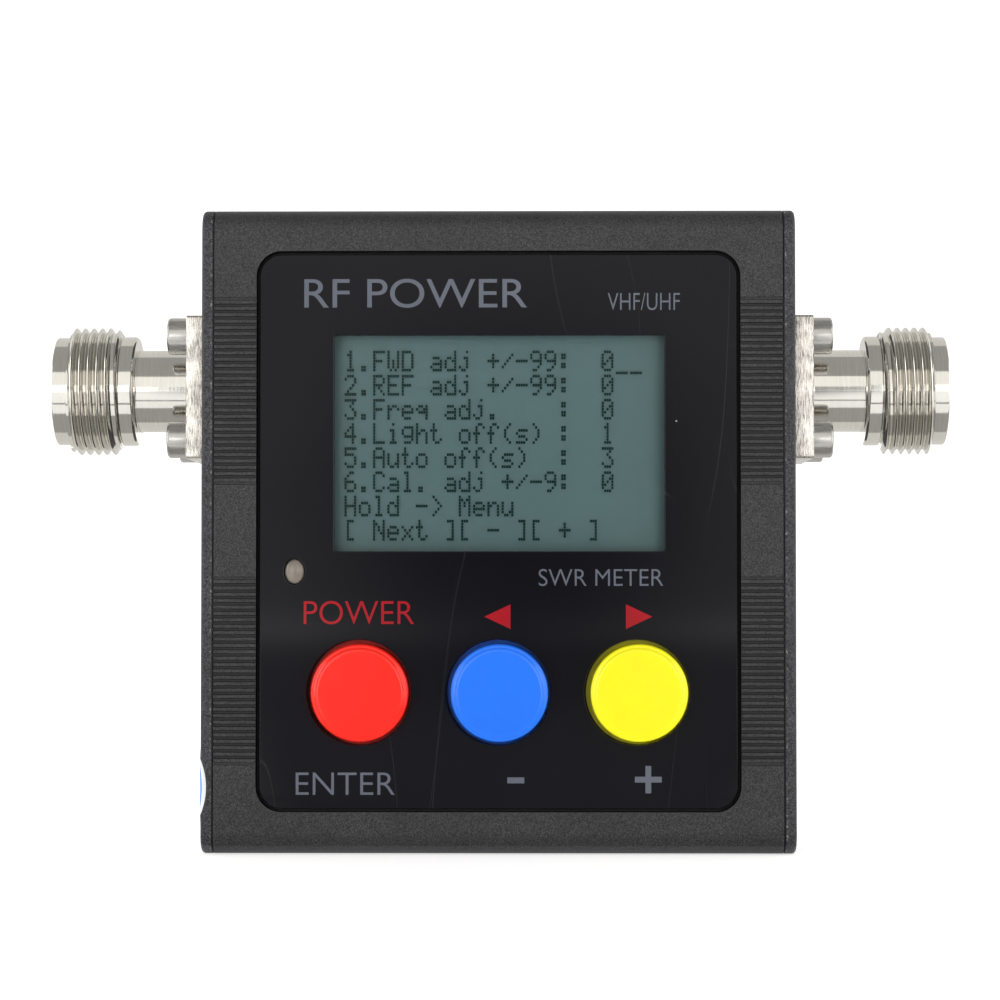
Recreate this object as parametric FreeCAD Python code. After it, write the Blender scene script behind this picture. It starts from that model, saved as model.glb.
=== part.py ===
"""Pocket RF power and SWR meter: a ribbed aluminium box with an N jack on each side.

The meter stands upright: +X is right as seen from the front, the front faces -Y and +Z is up.
The origin is the centre of the bottom face. Sizes are in millimetres.
"""

import FreeCAD, Part
import math
import os

from FreeCAD import Vector

# Casing
body_width = 70.0
body_depth = 42.0
body_height = 76.0
plate_thickness = 1.5
corner_radius = 2.5
front_wall = 3.0
thin_wall = 2.0
lap_length = 1.0
lap_gap = 0.05
seam_size = 0.15
screw_spare_depth = 1.0
plate_edge_radius = 0.5
plate_seam = 0.15

# Ribbed bands: grooves along the extrusion, two bands on the front and two on the back
groove_count = 30
groove_pitch = 0.75
first_groove = 5.6
groove_depth = 0.22
end_groove_depth = 0.1
groove_top = 0.4
groove_floor = 0.24

# Panel, in its pocket in the front wall
pocket_width = 57.0
pocket_height = 66.0
pocket_radius = 3.0
pocket_depth = 1.8
panel_gap = 0.4
panel_recess = 0.4
panel_thickness = 1.2
panel_hole_radius = 6.25
panel_hole_chamfer = 0.15
tape_inset = 0.2
tape_margin = 0.5
tape_lamp_gap = 0.4
tape_hole_gap = 0.2

# Display
display_x = 0.1
display_z = 48.3
glass_size = (42.5, 31.2)
glass_thickness = 2.0
glass_behind_panel = 0.4
backlight_size = (42.1, 28.6)
backlight_thickness = 3.0
display_cutout = (43.4, 32.2)
frame_outer = (44.7, 34.6)
frame_pocket = (42.9, 31.6)
frame_window = (34.0, 20.0)
ribbon_width = 16.0
ribbon_thickness = 0.2
ribbon_bend = 0.8
ribbon_gap = 0.5
ribbon_lap = 1.2
ribbon_drop = 2.6
ribbon_end = 5.4
backlight_top_gap = 0.2
frame_gap = 0.1
frame_slot_height = 3.0

# Push buttons, each on a 12 x 12 x 7.3 tactile switch
button_z = 19.0
button_x = {"power": -16.2, "minus": 0.15, "plus": 16.5}
cap_radius = 5.75
cap_proud = 2.6
cap_wall = 1.2
cap_skirt_radius = 6.7
cap_skirt_thickness = 0.9
cap_edge_radius = 0.45
cap_boss_radius = 3.1
cap_boss_root = 0.5
cap_ceiling = 2.2
cap_grip = 2.5
ledge_hole_radius = 6.2
switch_size = 12.0
switch_body_height = 3.1
switch_cover_thickness = 0.3
switch_height = 7.3
switch_bore_radius = 3.8
switch_floor = 1.0
stem_square = 3.8
stem_square_length = 3.0
stem_neck_radius = 3.0
stem_flange_radius = 3.5
stem_nub_radius = 1.0
stem_flange_gap = 0.1
stem_flange_thickness = 0.9
nub_gap = 0.05
cover_tab_width = 5.0
cover_tab_gap = 0.6
cover_hole_gap = 0.25
dome_radius = 3.0
dome_rise = 0.6
dome_thickness = 0.1
socket_gap = 0.02

# Status lamp
lamp_x = -24.0
lamp_z = 33.2
lamp_width = 2.35
lamp_height = 2.95
lamp_proud = 0.25
lamp_hole_gap = 0.12
lamp_dome = 0.6
lamp_foot_step = 0.45
lamp_foot_thickness = 0.8
lamp_spacer_radius = 1.6
lamp_spacer_height = 2.5
lamp_ledge_radius = 2.0

# Main board
board_front = -12.2
board_thickness = 1.6
board_width = 65.0
board_height = 71.4
rib_thickness = 2.0
rib_height = 3.6
rib_hole_depth = 1.9
board_screw_x = 29.0
board_screw_edge = 3.9
board_screw_length = 3.2

# Components on the board's back: middle in X and Z, width, height and thickness
components = (
    (-8.0, 22.0, 10.0, 10.0, 1.4),
    (8.0, 24.0, 6.0, 5.0, 1.6),
    (17.0, 16.0, 5.0, 4.0, 1.6),
    (20.0, 26.0, 6.0, 6.0, 2.8),
    (2.0, 12.0, 5.0, 3.2, 1.2),
    (-20.0, 18.0, 4.0, 4.0, 1.8),
    (-22.0, 28.0, 3.2, 1.6, 1.0),
    (-15.0, 32.0, 3.2, 1.6, 1.0),
    (0.0, 34.0, 7.0, 7.0, 1.4),
    (12.0, 36.0, 3.2, 2.5, 1.4),
    (22.0, 36.0, 6.0, 3.2, 2.2),
)

# Plate screws: M2.5 raised countersunk
plate_screw_y = 16.5
plate_screw_z = (4.1, 71.8)
screw_boss_radius = 2.4
screw_radius = 1.25
thread_gap = 0.03
plate_screw_length = 8.0
countersink_radius = 2.25
raised_head = 0.18
cross_width = 0.55
cross_span = 2.6
cross_depth = 0.8

# RF jacks: 5/8-24 thread, square flange; places are distances from the middle plane, along X
jack_z = 55.8
flange_size = 17.5
flange_end = 38.27
flange_edge = 0.3
hole_spacing = 12.7
flange_hole_radius = 1.4
barrel_radius = 5.1
barrel_end = 45.05
collar_radius = 6.8
collar_end = 46.9
undercut_radius = 7.05
thread_start = 47.3
thread_radius = 7.9375
thread_end = 53.6
rim_radius = 6.7
rim_end = 55.1
rim_chamfer = 0.35
mouth_radius = 4.1
mouth_depth = 9.0
spigot_radius = 5.3
spigot_end = 31.0
jack_hole_radius = 5.5
insulator_radius = 3.3
insulator_end = 30.0
contact_radius = 1.52
contact_recess = 3.8
contact_shoulder = 44.0
contact_shank_radius = 1.2
contact_bore_radius = 0.825
contact_slot = 0.35
contact_slot_depth = 4.5
contact_bore_depth = 5.0
tail_radius = 0.65
tail_end = 27.3
cap_head_radius = 2.25
cap_head_height = 2.4
cap_head_rounding = 0.4
hex_across = 2.0
hex_depth = 1.3
jack_screw_length = 8.0

# Coupler block between the jacks
coupler_half = 8.75
coupler_end_wall = 4.0
coupler_floor = 1.95
coupler_side_wall = 1.85
coupler_ledge = 1.3
lid_thickness = 1.0
lid_screw_x = 31.5
lid_screw_length = 3.8
tapped_wall = 0.3
m2_radius = 1.0
m2_head_radius = 1.9
m2_head_height = 1.2
m2_slot = 0.5
m2_clearance = 0.1
header_pitch = 2.54
header_pins = 4
pin_side = 0.64
pin_hole_gap = 0.1
pin_front_gap = 0.3
pin_proud = 0.2
header_gap = 0.1
header_depth = 2.5
header_window = (10.6, 3.2)
coupler_board_gap = (0.2, 0.1)

# USB socket in the right end plate
usb_z = 16.0
usb_width = 7.7
usb_height = 3.95
usb_depth = 9.0
usb_wall = 0.4
usb_mouth = 34.6
usb_hole_gap = 0.3
usb_back_wall = 1.5
usb_tongue = (0.8, 4.4)
usb_tongue_root = 1.0
usb_tongue_recess = 1.2

# Battery on the rear wall
battery_size = (50.0, 6.0, 28.0)
battery_bottom = 8.0
battery_edge = 1.0
pad_thickness = 0.6
pad_inset = 3.0
lead_radius = 0.6
lead_bend = 3.4
lead_x = (-21.0, -19.0)
plug_z = 40.0
plug_size = (6.2, 3.0)
plug_start = 1.3
plug_end = 8.0
socket_outer = (7.8, 6.0, 4.6)
socket_inner = (6.4, 3.2)
socket_floor = 1.2

# Round sticker on the left plate, folded over its front edge
sticker_radius = 6.6
sticker_thickness = 0.1
sticker_z = 7.9
sticker_flap = 0.7
sticker_chord = 6.6
sticker_bump_margin = 0.6

# How far a cutting shape runs past the face it cuts
over = 1.0

shell_end = body_width / 2 - plate_thickness
half_depth = body_depth / 2
panel_front = -half_depth + panel_recess
panel_back = panel_front + panel_thickness
pocket_floor = -half_depth + pocket_depth
wall_back = -half_depth + front_wall
rear_inner = half_depth - thin_wall
middle_z = body_height / 2
board_back = board_front + board_thickness
cap_top = panel_front - cap_proud
stem_top = board_front - switch_height
cap_bottom = stem_top + cap_grip
cover_top = board_front - switch_body_height - switch_cover_thickness
body_top = board_front - switch_body_height
glass_front = panel_back + glass_behind_panel
glass_back = glass_front + glass_thickness
backlight_back = glass_back + backlight_thickness
coupler_board_back = -tail_radius
x_axis = Vector(1, 0, 0)
y_axis = Vector(0, 1, 0)
z_axis = Vector(0, 0, 1)


def box(x, y, z):
    """A box between two values on each axis."""
    corner = Vector(x[0], y[0], z[0])
    return Part.makeBox(x[1] - x[0], y[1] - y[0], z[1] - z[0], corner)


def centred(size):
    return (-size / 2, size / 2)


def around(middle, size):
    return (middle - size / 2, middle + size / 2)


def rod_x(radius, x, y, z):
    """A cylinder along X between two values."""
    return Part.makeCylinder(radius, x[1] - x[0], Vector(x[0], y, z), x_axis)


def rod_y(radius, x, y, z):
    """A cylinder along Y between two values."""
    return Part.makeCylinder(radius, y[1] - y[0], Vector(x, y[0], z), y_axis)


def joined(first, *others):
    return first.multiFuse(list(others)).removeSplitter()


def group(solids):
    return Part.makeCompound(solids)


def mirrored(shape):
    """The same piece on the other side of the YZ plane."""
    return shape.mirror(Vector(0, 0, 0), x_axis)


def rounded_plate(width, height, radius, y, x=0.0, z=middle_z):
    """A plate in XZ with rounded corners, between two values of Y."""
    plate = box(around(x, width), y, around(z, height))
    corners = [e for e in plate.Edges if abs(e.tangentAt(e.FirstParameter).y) > 0.99]
    return plate.makeFillet(radius, corners)


def oval_rod(width, height, y, x, z):
    """An oval cylinder along Y, taller than it is wide."""
    ellipse = Part.Ellipse(Vector(0, 0, 0), height / 2, width / 2)
    face = Part.Face(Part.Wire([ellipse.toShape()]))
    face.rotate(Vector(0, 0, 0), z_axis, 90)
    face.rotate(Vector(0, 0, 0), x_axis, 90)
    face.translate(Vector(x, y[0], z))
    return face.extrude(Vector(0, y[1] - y[0], 0))


def outer_edges(shape, x):
    """The outline edges of a plate's face at a value of X, holes left out."""
    face = [f for f in shape.Faces if f.BoundBox.XLength < 1e-6 and abs(f.BoundBox.XMin - x) < 1e-6][0]
    return face.OuterWire.Edges


def grooved_run(y, inwards, start, end):
    """Points up or down one broad face, with both bands of grooves."""
    up = 1 if end > start else -1
    points = [Vector(0, y, start)]
    offsets = [first_groove + i * groove_pitch for i in range(groove_count)]
    centres = [middle_z - up * offset for offset in reversed(offsets)]
    centres += [middle_z + up * offset for offset in offsets]
    for centre in centres:
        offset = abs(centre - middle_z)
        at_band_end = offset < first_groove + 0.1 or offset > offsets[-1] - 0.1
        depth = end_groove_depth if at_band_end else groove_depth
        floor = y + inwards * depth
        points.append(Vector(0, y, centre - up * groove_top / 2))
        points.append(Vector(0, floor, centre - up * groove_floor / 2))
        points.append(Vector(0, floor, centre + up * groove_floor / 2))
        points.append(Vector(0, y, centre + up * groove_top / 2))
    points.append(Vector(0, y, end))
    return Part.makePolygon(points).Edges


def corner_arc(y, z, first_angle):
    """A quarter round of the casing's section about a centre."""
    angles = [math.radians(first_angle + step) for step in (0, 45, 90)]
    points = [Vector(0, y + corner_radius * math.cos(a), z + corner_radius * math.sin(a)) for a in angles]
    return Part.Arc(*points).toShape()


def section(grooved):
    """The casing's outer section in YZ, as a face at X = 0."""
    near = corner_radius
    far = body_height - corner_radius
    inner = half_depth - corner_radius
    if grooved:
        front = grooved_run(-half_depth, 1, far, near)
        back = grooved_run(half_depth, -1, near, far)
    else:
        front = [Part.makeLine(Vector(0, -half_depth, far), Vector(0, -half_depth, near))]
        back = [Part.makeLine(Vector(0, half_depth, near), Vector(0, half_depth, far))]
    edges = front + [corner_arc(-inner, near, 180)]
    edges.append(Part.makeLine(Vector(0, -inner, 0), Vector(0, inner, 0)))
    edges += [corner_arc(inner, near, 270)] + back + [corner_arc(inner, far, 0)]
    edges.append(Part.makeLine(Vector(0, inner, body_height), Vector(0, -inner, body_height)))
    edges.append(corner_arc(-inner, far, 90))
    return Part.Face(Part.Wire(edges))


def extrusion():
    """The casing tube before it is split, with a fine vee where the halves meet."""
    tube = section(True)
    tube.translate(Vector(-shell_end, 0, 0))
    tube = tube.extrude(Vector(2 * shell_end, 0, 0))
    inside = box((-shell_end, shell_end), (wall_back, rear_inner), (thin_wall, body_height - thin_wall))
    vees = []
    for z, inwards in ((0, 1), (body_height, -1)):
        points = [
            Vector(-shell_end, -seam_size, z),
            Vector(-shell_end, 0, z + inwards * seam_size),
            Vector(-shell_end, seam_size, z),
            Vector(-shell_end, -seam_size, z),
        ]
        vees.append(Part.Face(Part.makePolygon(points)).extrude(Vector(2 * shell_end, 0, 0)))
    return tube.cut(inside).cut(group(vees))


def lap(gap, length):
    """The two tongues where the front half laps inside the rear half."""
    span = (-shell_end, shell_end)
    half_wall = thin_wall / 2
    low = box(span, (-lap_length, length), (half_wall + gap, thin_wall))
    high = box(span, (-lap_length, length), (body_height - thin_wall, body_height - half_wall - gap))
    return low, high


def screw_bosses(side):
    """The round screw channels along the corners of one half."""
    span = (-shell_end, shell_end)
    return [rod_x(screw_boss_radius, span, side * plate_screw_y, z) for z in plate_screw_z]


def plate_screw_holes(side):
    """The pilot holes, in from both ends of one half."""
    deep = plate_screw_length + screw_spare_depth
    radius = screw_radius + thread_gap
    holes = []
    for z in plate_screw_z:
        holes.append(rod_x(radius, (shell_end - deep, shell_end), side * plate_screw_y, z))
        holes.append(rod_x(radius, (-shell_end, -shell_end + deep), side * plate_screw_y, z))
    return holes


def board_screw_places():
    for x in (-board_screw_x, board_screw_x):
        for z in (board_screw_edge, body_height - board_screw_edge):
            yield x, z


def front_shell(tube):
    span = (-shell_end, shell_end)
    half = tube.common(box(span, (-half_depth, 0), (0, body_height)))
    ribs = [
        box(span, (board_front - rib_thickness, board_front), (thin_wall, thin_wall + rib_height)),
        box(
            span,
            (board_front - rib_thickness, board_front),
            (body_height - thin_wall - rib_height, body_height - thin_wall),
        ),
    ]
    half = joined(half, *lap(lap_gap, lap_length), *screw_bosses(-1), *ribs)
    openings = [
        rounded_plate(pocket_width, pocket_height, pocket_radius, (-half_depth - over, pocket_floor)),
        box(
            around(display_x, display_cutout[0]),
            (pocket_floor - over, wall_back + over),
            around(display_z, display_cutout[1]),
        ),
        rod_y(lamp_ledge_radius, lamp_x, (pocket_floor - over, wall_back + over), lamp_z),
    ]
    for x in button_x.values():
        openings.append(rod_y(ledge_hole_radius, x, (pocket_floor - over, wall_back + over), button_z))
    for x, z in board_screw_places():
        openings.append(rod_y(m2_radius + thread_gap, x, (board_front - rib_hole_depth, board_front), z))
    return half.cut(group(openings + plate_screw_holes(-1)))


def rear_shell(tube):
    half = tube.common(box((-shell_end, shell_end), (0, half_depth), (0, body_height)))
    half = joined(half, *screw_bosses(1))
    return half.cut(group([*lap(0, lap_length + lap_gap), *plate_screw_holes(1)]))


def countersink(x, y, z):
    """The cone under a plate screw's head, from the right plate's outer face inwards."""
    rise = countersink_radius - screw_radius
    return Part.makeCone(screw_radius, countersink_radius, rise, Vector(x - rise, y, z), x_axis)


def plate_screw_places():
    for y in (-plate_screw_y, plate_screw_y):
        for z in plate_screw_z:
            yield y, z


def jack_screw_places():
    for y in (-hole_spacing / 2, hole_spacing / 2):
        for z in (jack_z - hole_spacing / 2, jack_z + hole_spacing / 2):
            yield y, z


def end_plate():
    """The right end plate, without its socket hole."""
    outer = body_width / 2
    plate = section(False)
    plate.translate(Vector(shell_end, 0, 0))
    plate = plate.extrude(Vector(plate_thickness, 0, 0))
    plate = plate.makeFillet(plate_edge_radius, outer_edges(plate, outer))
    plate = plate.makeChamfer(plate_seam, outer_edges(plate, shell_end))
    through = (shell_end - over, outer + over)
    holes = [rod_x(jack_hole_radius, through, 0, jack_z)]
    for y, z in plate_screw_places():
        holes.append(rod_x(screw_radius + thread_gap, through, y, z))
        holes.append(countersink(outer, y, z))
    for y, z in jack_screw_places():
        holes.append(rod_x(flange_hole_radius, through, y, z))
    return plate.cut(group(holes))


def right_end_plate():
    cutout = box(
        (shell_end - over, body_width / 2 + over),
        (board_back - usb_hole_gap, board_back + usb_height + usb_hole_gap),
        around(usb_z, usb_width + 2 * usb_hole_gap),
    )
    return end_plate().cut(cutout)


def head_ball(y, z, grow=0.0):
    """The sphere that a raised screw head is part of."""
    radius = (countersink_radius**2 + raised_head**2) / (2 * raised_head)
    centre = Vector(body_width / 2 + raised_head - radius, y, z)
    return Part.makeSphere(radius + grow, centre, x_axis)


def plate_screw(y, z):
    """A raised countersunk screw of the right end plate, with a cross recess."""
    outer = body_width / 2
    shank = rod_x(screw_radius, (outer - plate_screw_length, outer), y, z)
    crown = head_ball(y, z).common(rod_x(countersink_radius, (outer, outer + over), y, z))
    screw = joined(shank, countersink(outer, y, z), crown)
    recess = (outer + raised_head - cross_depth, outer + over)
    cross = [
        box(recess, around(y, cross_width), around(z, cross_span)),
        box(recess, around(y, cross_span), around(z, cross_width)),
    ]
    return screw.cut(group(cross))


def plate_screws():
    return group([plate_screw(y, z) for y, z in plate_screw_places()])


def jack_body():
    """The right jack's nickel-plated body, with a plain cylinder at the thread's crests."""
    outer = body_width / 2
    flange = box((outer, flange_end), centred(flange_size), around(jack_z, flange_size))
    flange = flange.makeChamfer(flange_edge, outer_edges(flange, flange_end))
    turned = [
        rod_x(spigot_radius, (spigot_end, outer), 0, jack_z),
        rod_x(barrel_radius, (flange_end, barrel_end), 0, jack_z),
        rod_x(collar_radius, (barrel_end, collar_end), 0, jack_z),
        rod_x(undercut_radius, (collar_end, thread_start), 0, jack_z),
        rod_x(thread_radius, (thread_start, thread_end), 0, jack_z),
    ]
    rim = rod_x(rim_radius, (thread_end, rim_end), 0, jack_z)
    turned.append(rim.makeChamfer(rim_chamfer, outer_edges(rim, rim_end)))
    holes = [
        rod_x(mouth_radius, (rim_end - mouth_depth, rim_end + over), 0, jack_z),
        rod_x(insulator_radius, (spigot_end - over, rim_end), 0, jack_z),
    ]
    for y, z in jack_screw_places():
        holes.append(rod_x(flange_hole_radius, (outer - over, flange_end + over), y, z))
    return joined(flange, *turned).cut(group(holes))


def jack_insulator():
    front = rim_end - mouth_depth
    body = rod_x(insulator_radius - socket_gap, (insulator_end, front), 0, jack_z)
    wide = rod_x(contact_radius + socket_gap, (contact_shoulder, front + over), 0, jack_z)
    narrow = rod_x(contact_shank_radius + socket_gap, (insulator_end - over, contact_shoulder), 0, jack_z)
    return body.cut(group([wide, narrow]))


def jack_contact():
    """The centre contact: a slotted socket in front and a thin solder tail behind."""
    tip = rim_end - contact_recess
    contact = joined(
        rod_x(contact_radius, (contact_shoulder, tip), 0, jack_z),
        rod_x(contact_shank_radius, (insulator_end, contact_shoulder), 0, jack_z),
        rod_x(tail_radius, (tail_end, insulator_end), 0, jack_z),
    )
    slots = (tip - contact_slot_depth, tip + over)
    wide = 4 * contact_radius
    cuts = [
        rod_x(contact_bore_radius, (tip - contact_bore_depth, tip + over), 0, jack_z),
        box(slots, centred(contact_slot), around(jack_z, wide)),
        box(slots, centred(wide), around(jack_z, contact_slot)),
    ]
    return contact.cut(group(cuts))


def hexagon(x, y, z, across, depth):
    """A hexagonal recess along X, from a face inwards."""
    reach = across / math.sqrt(3)
    angles = [math.radians(60 * i) for i in range(7)]
    points = [Vector(x - depth, y + reach * math.cos(a), z + reach * math.sin(a)) for a in angles]
    return Part.Face(Part.makePolygon(points)).extrude(Vector(depth + over, 0, 0))


def jack_screw(y, z):
    """A socket cap screw through the flange and plate into the coupler block."""
    top = flange_end + cap_head_height
    head = rod_x(cap_head_radius, (flange_end, top), y, z)
    head = head.makeFillet(cap_head_rounding, outer_edges(head, top))
    shank = rod_x(screw_radius - thread_gap, (flange_end - jack_screw_length, flange_end), y, z)
    return joined(head, shank).cut(hexagon(top, y, z, hex_across, hex_depth))


def jack_screws():
    return group([jack_screw(y, z) for y, z in jack_screw_places()])


def coupler_box():
    """The milled block that carries both jacks and shields the coupler board."""
    block = box((-shell_end, shell_end), centred(2 * coupler_half), around(jack_z, 2 * coupler_half))
    inner_x = shell_end - coupler_end_wall
    inner_z = coupler_half - coupler_side_wall
    floor = -coupler_half + coupler_floor
    ledge = coupler_board_back - board_thickness
    cuts = [
        box((-inner_x, inner_x), (ledge, coupler_half + over), around(jack_z, 2 * inner_z)),
        box((-inner_x, inner_x), (floor, ledge + over), around(jack_z, 2 * (inner_z - coupler_ledge))),
        box(
            centred(header_window[0]),
            (-coupler_half - over, floor + over),
            around(jack_z, header_window[1]),
        ),
        rod_x(jack_hole_radius, (-shell_end - over, shell_end + over), 0, jack_z),
    ]
    for y, z in jack_screw_places():
        cuts.append(rod_x(screw_radius + thread_gap, (inner_x + tapped_wall, shell_end + over), y, z))
        cuts.append(rod_x(screw_radius + thread_gap, (-shell_end - over, -inner_x - tapped_wall), y, z))
    for x in (-lid_screw_x, lid_screw_x):
        cuts.append(rod_y(m2_radius + thread_gap, x, (jack_hole_radius, coupler_half + over), jack_z))
    return block.cut(group(cuts))


def coupler_lid():
    lid = box(
        (-shell_end, shell_end),
        (coupler_half, coupler_half + lid_thickness),
        around(jack_z, 2 * coupler_half),
    )
    through = (coupler_half - over, coupler_half + lid_thickness + over)
    holes = [rod_y(m2_radius + m2_clearance, x, through, jack_z) for x in (-lid_screw_x, lid_screw_x)]
    return lid.cut(group(holes))


def m2_screw(x, z, under_head, length):
    """A pan head M2 screw driven towards -Y, with a slot."""
    head = rod_y(m2_head_radius, x, (under_head, under_head + m2_head_height), z)
    shank = rod_y(m2_radius, x, (under_head - length, under_head), z)
    slot = box(
        around(x, 2 * m2_head_radius + over),
        (under_head + m2_head_height - m2_slot, under_head + m2_head_height + over),
        around(z, m2_slot),
    )
    return joined(head, shank).cut(slot)


def coupler_lid_screws():
    under_head = coupler_half + lid_thickness
    return group([m2_screw(x, jack_z, under_head, lid_screw_length) for x in (-lid_screw_x, lid_screw_x)])


def board_screws():
    return group([m2_screw(x, z, board_back, board_screw_length) for x, z in board_screw_places()])


def pin_places():
    return [(i - (header_pins - 1) / 2) * header_pitch for i in range(header_pins)]


def pin_holes(y):
    """Square clearance holes for the header's pins."""
    side = pin_side + pin_hole_gap
    return [box(around(x, side), y, around(jack_z, side)) for x in pin_places()]


def coupler_board():
    ledge = coupler_board_back - board_thickness
    half_z = coupler_half - coupler_side_wall - coupler_board_gap[1]
    board = box(
        centred(2 * (shell_end - coupler_end_wall - coupler_board_gap[0])),
        (ledge, coupler_board_back),
        around(jack_z, 2 * half_z),
    )
    return board.cut(group(pin_holes((ledge - over, coupler_board_back + over))))


def sense_pins():
    span = (board_front + pin_front_gap, coupler_board_back + pin_proud)
    return group([box(around(x, pin_side), span, around(jack_z, pin_side)) for x in pin_places()])


def sense_header():
    bar = box(
        centred(header_pins * header_pitch),
        (board_back, -coupler_half - header_gap),
        around(jack_z, header_depth),
    )
    return bar.cut(group(pin_holes((board_back - over, 0))))


def front_panel():
    """The clear acrylic panel, with a fine bright chamfer round each button hole."""
    panel = rounded_plate(
        pocket_width - 2 * panel_gap,
        pocket_height - 2 * panel_gap,
        pocket_radius - panel_gap,
        (panel_front, panel_back),
    )
    cuts = [
        oval_rod(
            lamp_width + 2 * lamp_hole_gap,
            lamp_height + 2 * lamp_hole_gap,
            (panel_front - over, panel_back + over),
            lamp_x,
            lamp_z,
        )
    ]
    for x in button_x.values():
        cuts.append(rod_y(panel_hole_radius, x, (panel_front - over, panel_back + over), button_z))
        wide = panel_hole_radius + panel_hole_chamfer
        start = Vector(x, panel_front, button_z)
        cuts.append(Part.makeCone(wide, panel_hole_radius, panel_hole_chamfer, start, y_axis))
    return panel.cut(group(cuts))


def panel_tape():
    edge = panel_gap + tape_inset
    tape = rounded_plate(
        pocket_width - 2 * edge,
        pocket_height - 2 * edge,
        pocket_radius - edge,
        (panel_back, pocket_floor),
    )
    through = (panel_back - over, pocket_floor + over)
    width = display_cutout[0] + 2 * tape_margin
    height = display_cutout[1] + 2 * tape_margin
    cuts = [
        box(around(display_x, width), through, around(display_z, height)),
        rod_y(lamp_ledge_radius + tape_lamp_gap, lamp_x, through, lamp_z),
    ]
    cuts += [rod_y(panel_hole_radius + tape_hole_gap, x, through, button_z) for x in button_x.values()]
    return tape.cut(group(cuts))


def display_plate(size, y):
    return box(around(display_x, size[0]), y, around(display_z, size[1]))


def lcd_glass():
    return display_plate(glass_size, (glass_front, glass_back))


def lcd_backlight():
    """The light guide, set high to leave the glass's lower ledge to the ribbon."""
    lift = (glass_size[1] - backlight_size[1]) / 2 - backlight_top_gap
    light = display_plate(backlight_size, (glass_back, backlight_back))
    light.translate(Vector(0, 0, lift))
    return light


def lcd_frame():
    """The moulded tray that holds the glass and light guide on the board."""
    front = wall_back + frame_gap
    tray = display_plate(frame_outer, (front, board_front))
    low = display_z - frame_outer[1] / 2
    cuts = [
        display_plate(frame_pocket, (front - over, backlight_back)),
        display_plate(frame_window, (backlight_back - over, board_front + over)),
        box(
            around(display_x, ribbon_width + 2 * ribbon_gap),
            (front - over, backlight_back),
            (low - over, low + frame_slot_height),
        ),
    ]
    return tray.cut(group(cuts))


def bend(points, radius):
    """A path in one plane: straight runs joined by tangent arcs of one radius."""
    edges = []
    start = points[0]
    for before, corner, after in zip(points, points[1:], points[2:]):
        back = (before - corner).normalize()
        on = (after - corner).normalize()
        half = back.getAngle(on) / 2
        reach = radius / math.tan(half)
        inner = (back + on).normalize() * (radius / math.sin(half))
        first = corner + back * reach
        last = corner + on * reach
        middle = corner + inner - (inner / inner.Length) * radius
        edges.append(Part.makeLine(start, first))
        edges.append(Part.Arc(first, middle, last).toShape())
        start = last
    edges.append(Part.makeLine(start, points[-1]))
    return Part.Wire(edges)


def lcd_ribbon():
    """The flexible lead from the glass's ledge, down and back to the board's face."""
    on_glass = glass_back + ribbon_thickness / 2
    on_board = board_front - ribbon_thickness / 2
    low = display_z - glass_size[1] / 2
    points = [
        Vector(display_x, on_glass, low + ribbon_lap),
        Vector(display_x, on_glass, low - ribbon_drop),
        Vector(display_x, on_board, low - ribbon_drop),
        Vector(display_x, on_board, low - ribbon_end),
    ]
    path = bend(points, ribbon_bend)
    start = box(
        around(display_x, ribbon_width),
        around(on_glass, ribbon_thickness),
        (points[0].z - over, points[0].z),
    )
    profile = [f for f in start.Faces if f.CenterOfMass.z > points[0].z - 0.01][0].OuterWire
    return path.makePipeShell([profile], True, True)


def main_board():
    board = box(centred(board_width), (board_front, board_back), around(middle_z, board_height))
    through = (board_front - over, board_back + over)
    cuts = [rod_y(m2_radius + m2_clearance, x, through, z) for x, z in board_screw_places()]
    return board.cut(group(cuts + pin_holes(through)))


def board_components():
    """The controller, charger, regulators, crystal and coils on the board's back."""
    solids = []
    for x, z, width, height, thickness in components:
        y = (board_back, board_back + thickness)
        solids.append(box(around(x, width), y, around(z, height)))
    return group(solids)


def usb_socket():
    """The charging socket: a sheet metal shell round a moulded tongue."""
    span = (usb_mouth - usb_depth, usb_mouth)
    y = (board_back, board_back + usb_height)
    shell = box(span, y, around(usb_z, usb_width))
    hollow = box(
        (span[0] + usb_back_wall, span[1] + over),
        (y[0] + usb_wall, y[1] - usb_wall),
        around(usb_z, usb_width - 2 * usb_wall),
    )
    tongue = box(
        (span[0] + usb_tongue_root, span[1] - usb_tongue_recess),
        around(sum(y) / 2, usb_tongue[0]),
        around(usb_z, usb_tongue[1]),
    )
    return joined(shell.cut(hollow), tongue)


def battery():
    block = box(
        centred(battery_size[0]),
        (rear_inner - pad_thickness - battery_size[1], rear_inner - pad_thickness),
        (battery_bottom, battery_bottom + battery_size[2]),
    )
    return block.makeFillet(battery_edge, block.Edges)


def battery_pad():
    return box(
        centred(battery_size[0] - 2 * pad_inset),
        (rear_inner - pad_thickness, rear_inner),
        (battery_bottom + pad_inset, battery_bottom + battery_size[2] - pad_inset),
    )


def battery_socket():
    """The board's two-way socket, open towards the back."""
    middle = sum(lead_x) / 2
    width, height, depth = socket_outer
    top = board_back + height
    body = box(around(middle, width), (board_back, top), around(plug_z, depth))
    hollow = (board_back + socket_floor, top + over)
    return body.cut(box(around(middle, socket_inner[0]), hollow, around(plug_z, socket_inner[1])))


def battery_plug():
    middle = sum(lead_x) / 2
    span = (board_back + plug_start, board_back + plug_end)
    return box(around(middle, plug_size[0]), span, around(plug_z, plug_size[1]))


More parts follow.
